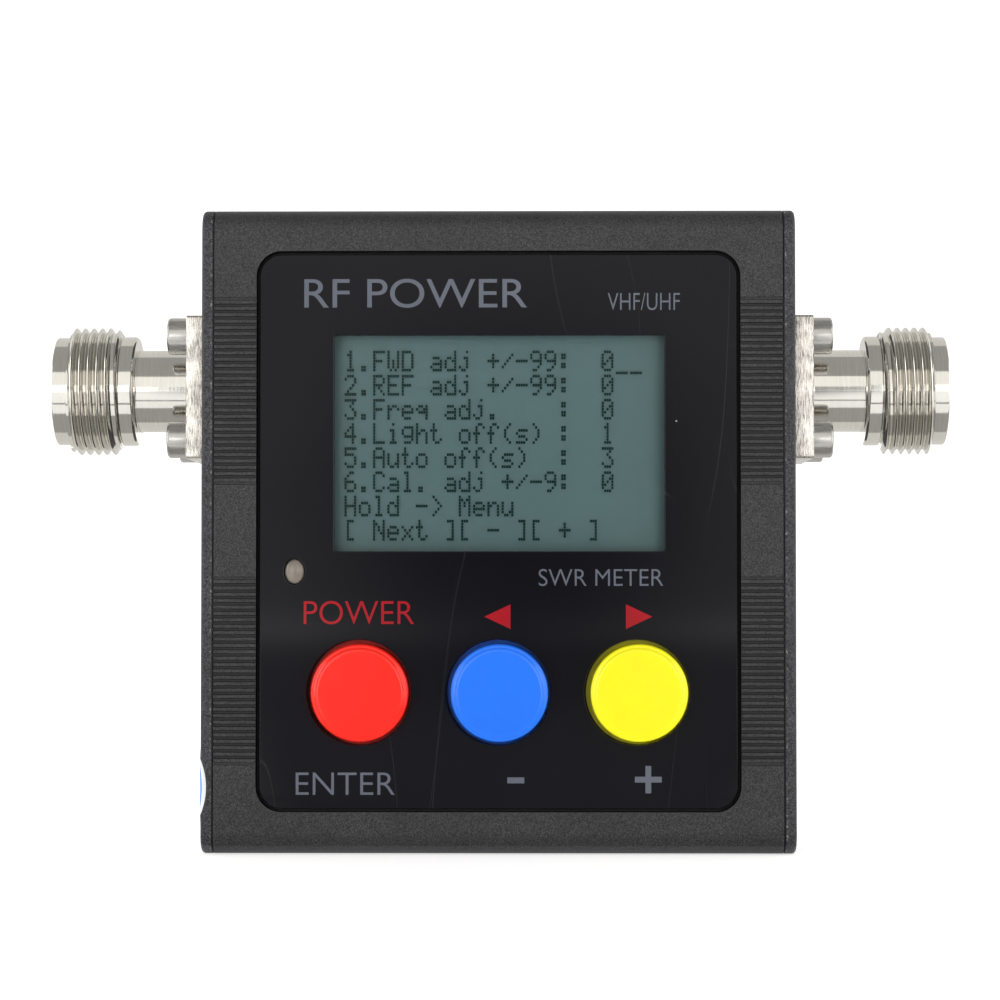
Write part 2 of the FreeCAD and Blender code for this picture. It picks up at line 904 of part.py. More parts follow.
def battery_leads():
    battery_middle = rear_inner - pad_thickness - battery_size[1] / 2
    top = battery_bottom + battery_size[2]
    leads = []
    for x in lead_x:
        points = [
            Vector(x, battery_middle, top),
            Vector(x, battery_middle, plug_z),
            Vector(x, board_back + plug_end, plug_z),
        ]
        start = Part.Wire([Part.Circle(points[0], z_axis, lead_radius).toShape()])
        leads.append(bend(points, lead_bend).makePipeShell([start], True, True))
    return group(leads)


def status_led():
    """The diffused oval lamp, domed in front and with a wider foot."""
    top = panel_front - lamp_proud
    foot_back = board_front - lamp_spacer_height
    foot_front = foot_back - lamp_foot_thickness
    lens = oval_rod(lamp_width, lamp_height, (top, foot_front), lamp_x, lamp_z)
    front = [e for e in lens.Edges if abs(e.CenterOfMass.y - top) < 1e-6]
    lens = lens.makeFillet(lamp_dome, front)
    wide = lamp_width + 2 * lamp_foot_step
    high = lamp_height + 2 * lamp_foot_step
    return joined(lens, oval_rod(wide, high, (foot_front, foot_back), lamp_x, lamp_z))


def led_spacer():
    return rod_y(lamp_spacer_radius, lamp_x, (board_front - lamp_spacer_height, board_front), lamp_z)


def button_cap(x):
    """A round moulded cap: hollow below, with a skirt and a square socket."""
    cap = rod_y(cap_radius, x, (cap_top, cap_bottom), button_z)
    top = [e for e in cap.Edges if abs(e.CenterOfMass.y - cap_top) < 1e-6]
    cap = cap.makeFillet(cap_edge_radius, top)
    skirt = rod_y(cap_skirt_radius, x, (cap_bottom - cap_skirt_thickness, cap_bottom), button_z)
    ceiling = cap_top + cap_ceiling
    hollow = rod_y(cap_radius - cap_wall, x, (ceiling, cap_bottom + over), button_z)
    boss = rod_y(cap_boss_radius, x, (ceiling - cap_boss_root, cap_bottom), button_z)
    side = stem_square + 2 * socket_gap
    socket = box(around(x, side), (stem_top, cap_bottom + over), around(button_z, side))
    return joined(joined(cap, skirt).cut(hollow), boss).cut(socket)


def switch_stem(x):
    """The plunger: a flange under the cover, a round neck and a square post."""
    square_start = stem_top + stem_square_length
    flange_top = body_top + stem_flange_gap
    flange_bottom = flange_top + stem_flange_thickness
    nub_tip = board_front - switch_floor - dome_rise - nub_gap
    return joined(
        box(around(x, stem_square), (stem_top, square_start), around(button_z, stem_square)),
        rod_y(stem_neck_radius, x, (square_start, flange_top), button_z),
        rod_y(stem_flange_radius, x, (flange_top, flange_bottom), button_z),
        rod_y(stem_nub_radius, x, (flange_bottom, nub_tip), button_z),
    )


def switch_dome(x):
    """The snap dome, a shallow spring steel cap on the switch's floor."""
    seat = board_front - switch_floor
    ball_radius = (dome_radius**2 + dome_rise**2) / (2 * dome_rise)
    centre = Vector(x, seat - dome_rise + ball_radius, button_z)
    ball = Part.makeSphere(ball_radius, centre)
    inner = Part.makeSphere(ball_radius - dome_thickness, centre)
    return ball.cut(inner).common(rod_y(dome_radius, x, (seat - over, seat), button_z))


def switch_body(x):
    body = box(around(x, switch_size), (body_top, board_front), around(button_z, switch_size))
    return body.cut(rod_y(switch_bore_radius, x, (body_top - over, board_front - switch_floor), button_z))


def switch_cover(x):
    """The sheet metal cover, with a tab folded down each side."""
    half = switch_size / 2
    top = box(around(x, switch_size), (cover_top, body_top), around(button_z, switch_size))
    low = box(
        around(x, cover_tab_width),
        (cover_top, board_front - cover_tab_gap),
        (button_z - half - switch_cover_thickness, button_z - half),
    )
    high = low.copy()
    high.translate(Vector(0, 0, switch_size + switch_cover_thickness))
    hole = rod_y(stem_neck_radius + cover_hole_gap, x, (cover_top - over, body_top + over), button_z)
    return joined(top, low, high).cut(hole)


def inspection_sticker():
    """The round paper sticker, over a screw head and folded round the plate's front edge."""
    outer = body_width / 2
    fold = plate_edge_radius
    flat_edge = -half_depth + fold
    wrapped = math.pi / 2 * fold + sticker_flap - fold
    middle_y = flat_edge + sticker_radius - wrapped
    flat = rod_x(sticker_radius, (outer, outer + sticker_thickness), middle_y, sticker_z)
    flat = flat.common(box((outer - over, outer + over), (flat_edge, half_depth), (0, body_height)))
    head = (-plate_screw_y, plate_screw_z[0])
    bump = head_ball(*head, sticker_thickness).common(
        rod_x(countersink_radius + sticker_bump_margin, (outer, outer + over), *head)
    )
    flat = joined(flat, bump).cut(head_ball(*head))
    height = (sticker_z - sticker_radius, sticker_z + sticker_radius)
    centre = Vector(outer - fold, flat_edge, height[0])
    turn = Part.makeCylinder(fold + sticker_thickness, 2 * sticker_radius, centre, z_axis)
    turn = turn.cut(Part.makeCylinder(fold, 2 * sticker_radius, centre, z_axis))
    turn = turn.common(box((outer - fold, outer + over), (-half_depth - over, flat_edge), height))
    flap = box(
        (outer - sticker_flap, outer - fold),
        (-half_depth - sticker_thickness, -half_depth),
        height,
    )
    bow = ((sticker_chord / 2) ** 2 + sticker_flap**2) / (2 * sticker_flap)
    arc = rod_y(bow, outer - sticker_flap + bow, (-half_depth - over, flat_edge), sticker_z)
    return mirrored(joined(flat, joined(turn, flap).common(arc)))


def build():
    """Every piece of the meter, by node name."""
    tube = extrusion()
    parts = {
        "front_shell": front_shell(tube),
        "rear_shell": rear_shell(tube),
        "left_end_plate": mirrored(end_plate()),
        "right_end_plate": right_end_plate(),
        "coupler_box": coupler_box(),
        "coupler_lid": coupler_lid(),
        "coupler_lid_screws": coupler_lid_screws(),
        "coupler_board": coupler_board(),
        "sense_header": sense_header(),
        "sense_pins": sense_pins(),
        "front_panel": front_panel(),
        "panel_tape": panel_tape(),
        "lcd_glass": lcd_glass(),
        "lcd_backlight": lcd_backlight(),
        "lcd_frame": lcd_frame(),
        "lcd_ribbon": lcd_ribbon(),
        "status_led": status_led(),
        "led_spacer": led_spacer(),
        "main_board": main_board(),
        "board_screws": board_screws(),
        "board_components": board_components(),
        "usb_socket": usb_socket(),
        "battery": battery(),
        "battery_pad": battery_pad(),
        "battery_socket": battery_socket(),
        "battery_plug": battery_plug(),
        "battery_leads": battery_leads(),
        "inspection_sticker": inspection_sticker(),
    }
    pairs = {
        "plate_screws": plate_screws(),
        "jack_body": jack_body(),
        "jack_insulator": jack_insulator(),
        "jack_contact": jack_contact(),
        "jack_screws": jack_screws(),
    }
    for name, shape in pairs.items():
        parts["right_" + name] = shape
        parts["left_" + name] = mirrored(shape)
    for name, x in button_x.items():
        parts[name + "_button"] = button_cap(x)
        parts[name + "_switch_stem"] = switch_stem(x)
        parts[name + "_switch_dome"] = switch_dome(x)
        parts[name + "_switch_body"] = switch_body(x)
        parts[name + "_switch_cover"] = switch_cover(x)
    return parts


os.makedirs("parts", exist_ok=True)
for name, shape in build().items():
    if not shape.isValid() or not shape.Solids:
        raise SystemExit(name + " is not a valid solid")
    shape.exportStep("parts/" + name + ".step")
    print(name, len(shape.Solids), "solids", round(shape.Volume, 2), "mm3")
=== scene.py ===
import math

import bmesh
import bpy
from mathutils import Matrix, Vector


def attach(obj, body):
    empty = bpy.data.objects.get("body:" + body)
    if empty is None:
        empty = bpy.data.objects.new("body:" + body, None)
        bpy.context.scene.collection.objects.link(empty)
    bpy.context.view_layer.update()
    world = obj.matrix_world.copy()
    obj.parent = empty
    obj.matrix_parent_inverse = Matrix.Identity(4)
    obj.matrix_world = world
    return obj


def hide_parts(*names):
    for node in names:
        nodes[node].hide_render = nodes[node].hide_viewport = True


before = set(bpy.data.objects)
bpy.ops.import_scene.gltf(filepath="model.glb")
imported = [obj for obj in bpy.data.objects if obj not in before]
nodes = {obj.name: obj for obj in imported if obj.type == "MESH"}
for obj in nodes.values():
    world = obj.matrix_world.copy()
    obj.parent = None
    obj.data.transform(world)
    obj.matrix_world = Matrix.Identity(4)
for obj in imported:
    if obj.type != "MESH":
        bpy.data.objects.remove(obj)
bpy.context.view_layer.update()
mm = 0.001
casing = "casing"


# --- small tools ---


def hexColour(code):
    channels = [int(code[i:i + 2], 16) / 255 for i in (0, 2, 4)]
    linear = [c / 12.92 if c <= 0.04045 else ((c + 0.055) / 1.055) ** 2.4 for c in channels]
    return (*linear, 1.0)


def firstOutput(value):
    # a node stands for the first of its outputs that is in use
    return next(s for s in value.outputs if s.enabled) if isinstance(value, bpy.types.Node) else value


def addNode(tree, kind, inputs=None, **settings):
    # one node with its settings; an input is a value, a node or one of its outputs
    node = tree.nodes.new("ShaderNode" + kind)
    for name, value in settings.items():
        setattr(node, name, value)
    for name, value in (inputs or {}).items():
        value = firstOutput(value)
        if isinstance(value, bpy.types.NodeSocket):
            tree.links.new(value, node.inputs[name])
        else:
            node.inputs[name].default_value = value
    return node


def startMaterial(name, **sockets):
    material = bpy.data.materials.new(name)
    material.use_nodes = True
    tree = material.node_tree
    shader = tree.nodes["Principled BSDF"]
    for socket, value in sockets.items():
        shader.inputs[socket.replace("_", " ")].default_value = value
    return material, tree, shader


def feed(tree, shader, **sockets):
    for socket, value in sockets.items():
        tree.links.new(firstOutput(value), shader.inputs[socket.replace("_", " ")])


def objectPoint(tree, shift=(0, 0, 0), stretch=(1, 1, 1), turn=(0, 0, 0)):
    place = addNode(tree, "TexCoord")
    return addNode(tree, "Mapping", {"Vector": place.outputs["Object"], "Location": shift,
                                        "Scale": stretch, "Rotation": turn})


def grains(size):
    # noise scale for a pattern whose grains are this many millimetres across
    return 1 / (size * mm)


def tinted(tree, colour, value, low, high, start=0.0, end=1.0):
    # a colour that is scaled from low to high as the value goes from start to end
    tint = addNode(tree, "MapRange", {"Value": value, "From Min": start, "From Max": end,
                                      "To Min": low, "To Max": high})
    return addNode(tree, "VectorMath", {0: hexColour(colour)[:3], "Scale": tint},
                   operation="SCALE")


def addObject(name, mesh, material, body, sharpAngle=40, flatAxis=None):
    mesh.shade_smooth()
    mesh.set_sharp_from_angle(angle=math.radians(sharpAngle))
    if flatAxis is not None:
        keepFlat(mesh, flatAxis)
    piece = bpy.data.objects.new(name, mesh)
    bpy.context.scene.collection.objects.link(piece)
    mesh.materials.clear()
    mesh.materials.append(material)
    if body:
        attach(piece, body)
    return piece


def keepFlat(mesh, axis):
    # a flat face square to the axis is shaded flat, so that its rounded edge doesn't bend its reflections
    bm = bmesh.new()
    bm.from_mesh(mesh)
    bm.normal_update()
    flat = {f for f in bm.faces if abs(f.normal[axis]) > 0.9999}
    for edge in bm.edges:
        if len(flat.intersection(edge.link_faces)) == 1:
            edge.smooth = False
    bm.to_mesh(mesh)
    bm.free()


def meshFrom(name, bm):
    bmesh.ops.remove_doubles(bm, verts=bm.verts, dist=0.0005 * mm)
    bmesh.ops.recalc_face_normals(bm, faces=bm.faces)
    mesh = bpy.data.meshes.new(name)
    bm.to_mesh(mesh)
    bm.free()
    return mesh


def soften(bm, size, segments=2, angle=30):
    # rounds every edge that is sharper than the angle
    sharp = [e for e in bm.edges if len(e.link_faces) == 2 and e.calc_face_angle() > math.radians(angle)]
    bmesh.ops.bevel(bm, geom=sharp, offset=size * mm, offset_type="OFFSET", segments=segments,
                    profile=0.5, affect="EDGES", clamp_overlap=True, material=-1)


def guarded(points, inset=0.15):
    # adds a point just inside each end of every long run, so that shading bends only beside the corners
    result = [points[0]]
    for first, last in zip(points, points[1:]):
        run = Vector(last) - Vector(first)
        if run.length > 4 * inset:
            step = run.normalized() * inset
            result += [tuple(Vector(first) + step), tuple(Vector(last) - step)]
        result.append(last)
    return result


def turned(points, steps=96):
    # a lathe: (radius, distance along +Z) points in mm, spun about Z
    bm = bmesh.new()
    chain = [bm.verts.new((r * mm, 0, d * mm)) for r, d in points]
    edges = [bm.edges.new(pair) for pair in zip(chain, chain[1:])]
    bmesh.ops.spin(bm, geom=chain + edges, cent=(0, 0, 0), axis=(0, 0, 1), dvec=(0, 0, 0),
                   angle=math.tau, steps=steps, use_merge=True, use_duplicate=False)
    bmesh.ops.remove_doubles(bm, verts=bm.verts, dist=0.0005 * mm)
    bmesh.ops.recalc_face_normals(bm, faces=bm.faces)
    return bm


def alongY(x, y, z):
    # +Z of a turned shape to -Y, out of the front
    return Matrix.Translation((x * mm, y * mm, z * mm)) @ Matrix.Rotation(math.radians(90), 4, "X")


def alongX(side, y, z):
    # +Z of a turned shape to +X, or to -X on the left side, by a half turn about the vertical
    turn = Matrix.Rotation(math.radians(90 * side), 4, "Y")
    return Matrix.Translation((0, y * mm, z * mm)) @ turn


def flatShape(name, outlines, thickness, bevel=0.0):
    # a plate cut from 2D outlines with round edges, as a mesh in XY that is centred on Z
    curve = bpy.data.curves.new(name, "CURVE")
    curve.dimensions = "2D"
    curve.fill_mode = "BOTH"
    curve.resolution_u = 10
    curve.extrude = (thickness / 2 - bevel) * mm
    curve.bevel_depth = bevel * mm
    curve.bevel_resolution = 2
    curve.offset = -bevel * mm
    for x, z, width, height, radius in outlines:
        addOutline(curve, x, z, width / 2, height / 2, radius)
    holder = bpy.data.objects.new(name, curve)
    mesh = bpy.data.meshes.new_from_object(holder)
    bpy.data.objects.remove(holder)
    bm = bmesh.new()
    bm.from_mesh(mesh)
    bpy.data.meshes.remove(mesh)
    bmesh.ops.remove_doubles(bm, verts=bm.verts, dist=0.0005 * mm)
    bmesh.ops.recalc_face_normals(bm, faces=bm.faces)
    return bm


def addOutline(curve, x, z, halfWidth, halfHeight, radius):
    # a rounded rectangle, an oval where the radius is None
    radiusX = halfWidth if radius is None else radius
    radiusZ = halfHeight if radius is None else radius
    pull = 0.5523  # handle length of a quarter round
    points = []
    for sx, sz in ((1, 1), (-1, 1), (-1, -1), (1, -1)):
        cornerX = x + sx * (halfWidth - radiusX)
        cornerZ = z + sz * (halfHeight - radiusZ)
        side = (cornerX + sx * radiusX, cornerZ)
        top = (cornerX, cornerZ + sz * radiusZ)
        sidePull = (side[0], side[1] + sz * radiusZ * pull)
        topPull = (top[0] + sx * radiusX * pull, top[1])
        first = (side, None, sidePull)
        last = (top, topPull, None)
        points += [first, last] if sx * sz > 0 else [(top, None, topPull), (side, sidePull, None)]
    spline = curve.splines.new("BEZIER")
    spline.bezier_points.add(len(points) - 1)
    spline.use_cyclic_u = True
    for point, (place, left, right) in zip(spline.bezier_points, points):
        point.handle_left_type = point.handle_right_type = "FREE"
        point.co = (place[0] * mm, place[1] * mm, 0)
        point.handle_left = point.co if left is None else (left[0] * mm, left[1] * mm, 0)
        point.handle_right = point.co if right is None else (right[0] * mm, right[1] * mm, 0)


# --- camera, floor and light ---

studio = {
    "target": (-0.05, 0.0, 42.25),  # mm
    "distance": 375.0,
    "azimuth": 0.7,
    "elevation": -1.75,
    "lens": 108.4,
    "worldGrey": "acacaa",
    "paperGlow": 0.52,  # keeps the paper white behind the meter
}


def makeCamera():
    azimuth = math.radians(studio["azimuth"])
    elevation = math.radians(studio["elevation"])
    flat = math.cos(elevation)
    back = Vector((math.sin(azimuth) * flat, -math.cos(azimuth) * flat, math.sin(elevation)))
    camera = bpy.data.objects.new("camera", bpy.data.cameras.new("camera"))
    camera.data.lens = studio["lens"]
    camera.data.clip_start = 0.01
    camera.location = (Vector(studio["target"]) + back * studio["distance"]) * mm
    camera.rotation_euler = (-back).to_track_quat("-Z", "Y").to_euler()
    bpy.context.scene.collection.objects.link(camera)
    bpy.context.scene.camera = camera


def makeFloor():
    # a sweep of white paper: flat under the meter, curving up far behind it
    bm = bmesh.new()
    rise = [Vector((0, -3.0, 0)), Vector((0, 1.0, 0))]
    for step in range(1, 13):
        angle = math.radians(step * 7.5)
        rise.append(Vector((0, 1.0 + 0.5 * math.sin(angle), 0.5 - 0.5 * math.cos(angle))))
    rise.append(Vector((0, 1.5, 3.0)))
    chain = [bm.verts.new(point - Vector((3, 0, 0))) for point in rise]
    edges = [bm.edges.new(pair) for pair in zip(chain, chain[1:])]
    swept = bmesh.ops.extrude_edge_only(bm, edges=edges)
    moved = [v for v in swept["geom"] if isinstance(v, bmesh.types.BMVert)]
    bmesh.ops.translate(bm, vec=(6, 0, 0), verts=moved)
    paper, tree, shader = startMaterial("whitePaper", Roughness=0.9)
    fibres = addNode(tree, "TexNoise", {"Vector": objectPoint(tree), "Scale": 60.0, "Detail": 4.0})
    tone = addNode(tree, "ValToRGB", {"Fac": fibres})
    tone.color_ramp.elements[0].color = hexColour("f0f0f0")
    tone.color_ramp.elements[1].color = hexColour("f6f6f6")
    feed(tree, shader, Base_Color=tone.outputs["Color"])
    shader.inputs["Emission Color"].default_value = (1, 1, 1, 1)
    shader.inputs["Emission Strength"].default_value = studio["paperGlow"]
    addObject("paperSweep", meshFrom("paperSweep", bm), paper, None, 80)


def addLamp(name, place, aim, width, height, power):
    lamp = bpy.data.lights.new(name, "AREA")
    lamp.shape = "RECTANGLE"
    lamp.size = width
    lamp.size_y = height
    lamp.energy = power
    holder = bpy.data.objects.new(name, lamp)
    holder.location = place
    holder.rotation_euler = (Vector(aim) - Vector(place)).to_track_quat("-Z", "Y").to_euler()
    bpy.context.scene.collection.objects.link(holder)


def addFlag(name, corners, material):
    # a card that shows only in the meter's reflections
    bm = bmesh.new()
    bmesh.ops.create_grid(bm, x_segments=1, y_segments=1, size=1)
    bm.verts.ensure_lookup_table()
    for vertex, corner in zip(bm.verts, corners):
        vertex.co = Vector(corner) * mm
    flag = addObject(name, meshFrom(name, bm), material, None)
    flag.visible_camera = flag.visible_diffuse = flag.visible_shadow = False


def glowCard(name, level):
    # a card of even brightness, slightly warm
    card, tree, shader = startMaterial(name)
    tree.nodes.remove(shader)
    glow = addNode(tree, "Emission", {"Color": (level, level * 0.985, level * 0.95, 1), "Strength": 1.0})
    feed(tree, tree.nodes["Material Output"], Surface=glow)
    return card


def floorFlag(name, near, far, level):
    # near and far are each a place in Y and a half width
    corners = [(-near[1], near[0], 1), (near[1], near[0], 1), (-far[1], far[0], 1), (far[1], far[0], 1)]
    addFlag(name, corners, glowCard(name, level))


def makeLights():
    middle = (0, 0, 0.042)
    for side in (-1, 1):
        addLamp("frontBox", (side * 0.39, -0.95, 0.02), middle, 0.46, 0.56, 2.1)
        addLamp("sideBox", (side * 0.95, -0.1, 0.25), middle, 0.5, 0.8, 3.4)
    addLamp("topStrip", (0, -0.75, 0.47), middle, 1.2, 0.14, 0.35)
    addLamp("backTopBox", (0, 0.9, 0.9), middle, 1.2, 0.5, 2.5)
    world = bpy.data.worlds.new("studio")
    bpy.context.scene.world = world
    world.use_nodes = True
    world.node_tree.nodes["Background"].inputs["Color"].default_value = hexColour(studio["worldGrey"])
    bpy.context.scene.view_settings.view_transform = "Standard"


def fadingCard(name, colour, measure, start, end):
    # a card that is clear where its measure is past the end, and even before the start
    card, tree, shader = startMaterial(name)
    tree.nodes.remove(shader)
    fade = addNode(tree, "MapRange", {"Value": measure(tree), "From Min": start, "From Max": end},
                   interpolation_type="SMOOTHSTEP")
    glow = addNode(tree, "Emission", {"Color": hexColour(colour), "Strength": 1.0})
    clear = addNode(tree, "BsdfTransparent")
    mixed = addNode(tree, "MixShader", {0: fade, 1: glow, 2: clear})
    feed(tree, tree.nodes["Material Output"], Surface=mixed)
    return card


def fanWidth(tree):
    # distance from the middle line, as a share of a half width that grows away from the meter
    parts = addNode(tree, "SeparateXYZ", {"Vector": objectPoint(tree)})
    ahead = addNode(tree, "Math", {0: parts.outputs[1]}, operation="ABSOLUTE")
    aside = addNode(tree, "Math", {0: parts.outputs[0]}, operation="ABSOLUTE")
    reach = addNode(tree, "Math", {0: ahead, 1: 0.17, 2: 0.035}, operation="MULTIPLY_ADD")
    return addNode(tree, "Math", {0: aside, 1: reach}, operation="DIVIDE")


def lensDistance(tree):
    # distance from the camera's line of sight, in metres
    parts = addNode(tree, "SeparateXYZ", {"Vector": objectPoint(tree, shift=(0, 0, -0.049))})
    flat = addNode(tree, "CombineXYZ", {"X": parts.outputs[0], "Z": parts.outputs[2]})
    return addNode(tree, "VectorMath", {0: flat}, operation="LENGTH")


def makeFlags():
    floorFlag("edgeFlag", (-105, 200), (-95, 200), 0.06)
    # painted shadow: a grey card under the jacks, seen only in reflections, that stands for the casing's shade
    # on the floor
    floorFlag("floorShadowFlag", (-47, 200), (7, 200), 0.42)
    fan = fadingCard("cameraFloorFlag", "757577", fanWidth, 0.55, 1.0)
    addFlag("cameraFloorFlag", [(-290, -1500, 1.5), (290, -1500, 1.5), (-50, -50, 1.5), (50, -50, 1.5)], fan)
    front = [(-800, -600, 150), (800, -600, 150), (-800, -560, 500), (800, -560, 500)]
    addFlag("frontGlow", front, glowCard("frontGlow", 1.25))
    floorFlag("backFlag", (7, 250), (700, 250), 0.8)
    back = [(-300, 350, 70), (300, 350, 70), (-300, 350, 1100), (300, 350, 1100)]
    addFlag("skyFlag", back, glowCard("skyFlag", 0.78))
    # the dark shape of the camera and its stand, soft at its edge
    dark = fadingCard("cameraFlag", "3e3e41", lensDistance, 0.012, 0.072)
    addFlag("cameraFlag", [(-70, -400, 2), (70, -400, 2), (-70, -400, 130), (70, -400, 130)], dark)


makeCamera()
makeFloor()
makeLights()
makeFlags()
print("studio ready")


# --- materials ---

panelShape = {
    "front": -20.6,
    "back": -19.4,
    "width": 56.2,
    "height": 65.2,
    "radius": 2.6,
    "middle": 38.0,
    "edge": 0.09,
    "holeRadius": 6.2,
    "holeShift": -0.2,
    "window": (0.1, 48.33, 38.9, 25.5, 0.3),  # x, z, width, height, corner radius
    "lamp": (-24.0, 33.2, 2.48, 3.08),
}
shellShade = {
    "pocket": (28.5, 33.0),  # half the pocket's width and height
    "pocketRadius": 3.0,
    "bands": 28.2,  # the grooves reach this far above and below the middle
    "grooveFloor": (20.8, 20.96),  # distance from the middle plane, from full shade to none
    "seam": (33.4, 33.72),
    "chips": (33.78, 33.9),
}


def anodised(name, dark, light, grit, paintedShade=None, wornEdge=None):
    # sand-blasted, black anodised aluminium: matt and near black, peppered with grains that catch the light
    material, tree, shader = startMaterial(name, Metallic=0.0, Specular_IOR_Level=0.42)
    point = objectPoint(tree)
    fine = addNode(tree, "TexNoise", {"Vector": point, "Scale": grains(grit), "Detail": 2.0, "Roughness": 0.75})
    cloud = addNode(tree, "TexNoise", {"Vector": point, "Scale": grains(7), "Detail": 3.0})
    spread = addNode(tree, "MapRange", {"Value": fine, "From Min": 0.38, "From Max": 0.72})
    grain = addNode(tree, "Mix", {"Factor": spread, "A": hexColour(dark),
                                  "B": hexColour(light)}, data_type="RGBA")
    shade = addNode(tree, "MapRange", {"Value": cloud, "From Min": 0.3, "From Max": 0.7,
                                       "To Min": 0.85, "To Max": 1.12})
    base = addNode(tree, "VectorMath", {0: grain, "Scale": shade},
                   operation="SCALE")
    # painted shade, multiplied into the colour: gaps and grooves on the shell, the seam on the plates
    if paintedShade:
        base = addNode(tree, "VectorMath", {0: base, "Scale": paintedShade(tree, point)}, operation="SCALE")
    if wornEdge:
        base = addNode(tree, "Mix", {"Factor": wornEdge(tree, point), "A": base, "B": hexColour("b9b6b4")},
                       data_type="RGBA")
    rough = addNode(tree, "MapRange", {"Value": fine, "From Min": 0.3, "From Max": 0.7,
                                       "To Min": 0.42, "To Max": 0.6})
    bump = addNode(tree, "Bump", {"Height": fine, "Strength": 0.8, "Distance": 0.03 * mm})
    feed(tree, shader, Base_Color=base, Roughness=rough, Normal=bump)
    return material


def between(tree, value, low, high, soft):
    # 1 where the value lies between two distances in mm, 0 outside, with a soft edge
    rise = addNode(tree, "MapRange", {"Value": value, "From Min": (low - soft) * mm, "From Max": low * mm})
    fall = addNode(tree, "MapRange", {"Value": value, "From Min": high * mm, "From Max": (high + soft) * mm,
                                      "To Min": 1.0, "To Max": 0.0})
    return addNode(tree, "Math", {0: rise, 1: fall}, operation="MULTIPLY")


def pocketShade(tree, point):
    # painted shade in the narrow gap round the panel and on the floors of the grooves
    parts = addNode(tree, "SeparateXYZ", {"Vector": point})
    aside = addNode(tree, "Math", {0: parts.outputs[0]}, operation="ABSOLUTE")
    height = addNode(tree, "Math", {0: parts.outputs[2], 1: panelShape["middle"] * mm}, operation="SUBTRACT")
    upright = addNode(tree, "Math", {0: height}, operation="ABSOLUTE")
    flat = addNode(tree, "CombineXYZ", {"X": aside, "Y": upright})
    radius = shellShade["pocketRadius"]
    corner = Vector((*shellShade["pocket"], 0)) - Vector((radius, radius, 0))  # centre of a corner's round
    past = addNode(tree, "VectorMath", {0: flat, 1: corner * mm}, operation="SUBTRACT")
    outside = addNode(tree, "VectorMath", {0: past, 1: (0, 0, 0)}, operation="MAXIMUM")
    away = addNode(tree, "VectorMath", {0: outside}, operation="LENGTH")
    shade = addNode(tree, "MapRange", {"Value": away, "From Min": radius * mm,
                                       "From Max": (radius + 0.04) * mm, "To Min": 0.12})
    behind = addNode(tree, "Math", {0: parts.outputs[1], 1: 0.0}, operation="GREATER_THAN")
    pocket = addNode(tree, "Math", {0: shade, 1: behind}, operation="MAXIMUM")
    outwards = addNode(tree, "Math", {0: parts.outputs[1]}, operation="ABSOLUTE")
    floor, face = shellShade["grooveFloor"]
    depth = addNode(tree, "MapRange", {"Value": outwards, "From Min": floor * mm,
                                       "From Max": face * mm, "To Min": 0.3})
    banded = addNode(tree, "Math", {0: upright, 1: shellShade["bands"] * mm}, operation="LESS_THAN")
    groove = addNode(tree, "Mix", {"Factor": banded, "A": 1.0, "B": depth})
    return addNode(tree, "Math", {0: pocket, 1: groove}, operation="MULTIPLY")


def seamBand(tree, point, limits, soft):
    # 1 in a strip beside both end plates
    parts = addNode(tree, "SeparateXYZ", {"Vector": point})
    aside = addNode(tree, "Math", {0: parts.outputs[0]}, operation="ABSOLUTE")
    return between(tree, aside, *limits, soft)


def seamShade(tree, point):
    # painted shade: the dark line in the gap where a plate meets the shell
    seam = seamBand(tree, point, shellShade["seam"], 0.06)
    return addNode(tree, "MapRange", {"Value": seam, "To Min": 1.0, "To Max": 0.1})


def seamChips(tree, point):
    # bright chips where the plate's sheared edge has lost its colour
    edge = seamBand(tree, point, shellShade["chips"], 0.08)
    grit = addNode(tree, "TexNoise", {"Vector": point, "Scale": grains(0.5), "Detail": 3.0, "Roughness": 0.8})
    chips = addNode(tree, "MapRange", {"Value": grit, "From Min": 0.56, "From Max": 0.66,
                                       "To Max": 0.5})
    return addNode(tree, "Math", {0: edge, 1: chips}, operation="MULTIPLY")


def hairlines(tree, point, size, width, seed):
    # thin curved scratches: the contour line of a slow noise, broken up by another noise
    wander = addNode(tree, "TexNoise", {"Vector": point, "Scale": grains(size), "Detail": 0.6, "W": seed},
                     noise_dimensions="4D")
    off = addNode(tree, "Math", {0: wander, 1: 0.5}, operation="SUBTRACT")
    away = addNode(tree, "Math", {0: off}, operation="ABSOLUTE")
    line = addNode(tree, "MapRange", {"Value": away, "From Min": 0.0, "From Max": width,
                                      "To Min": 1.0, "To Max": 0.0})
    patches = addNode(tree, "TexNoise", {"Vector": point, "Scale": grains(size * 0.8), "Detail": 1.0,
                                         "W": seed + 5}, noise_dimensions="4D")
    keep = addNode(tree, "MapRange", {"Value": patches, "From Min": 0.5, "From Max": 0.62})
    return addNode(tree, "Math", {0: line, 1: keep}, operation="MULTIPLY")


def specks(tree, point, spacing, size, share, seed):
    # dust: a dot in a share of the cells of a grid
    cells = addNode(tree, "TexVoronoi", {"Vector": point, "Scale": grains(spacing), "W": seed},
                    voronoi_dimensions="4D")
    dot = addNode(tree, "MapRange", {"Value": cells.outputs["Distance"], "From Min": size / spacing * 0.6,
                                     "From Max": size / spacing, "To Min": 1.0, "To Max": 0.0})
    picked = addNode(tree, "SeparateColor", {"Color": cells.outputs["Color"]})
    chosen = addNode(tree, "Math", {0: picked.outputs[0], 1: share}, operation="LESS_THAN")
    return addNode(tree, "Math", {0: dot, 1: chosen}, operation="MULTIPLY")


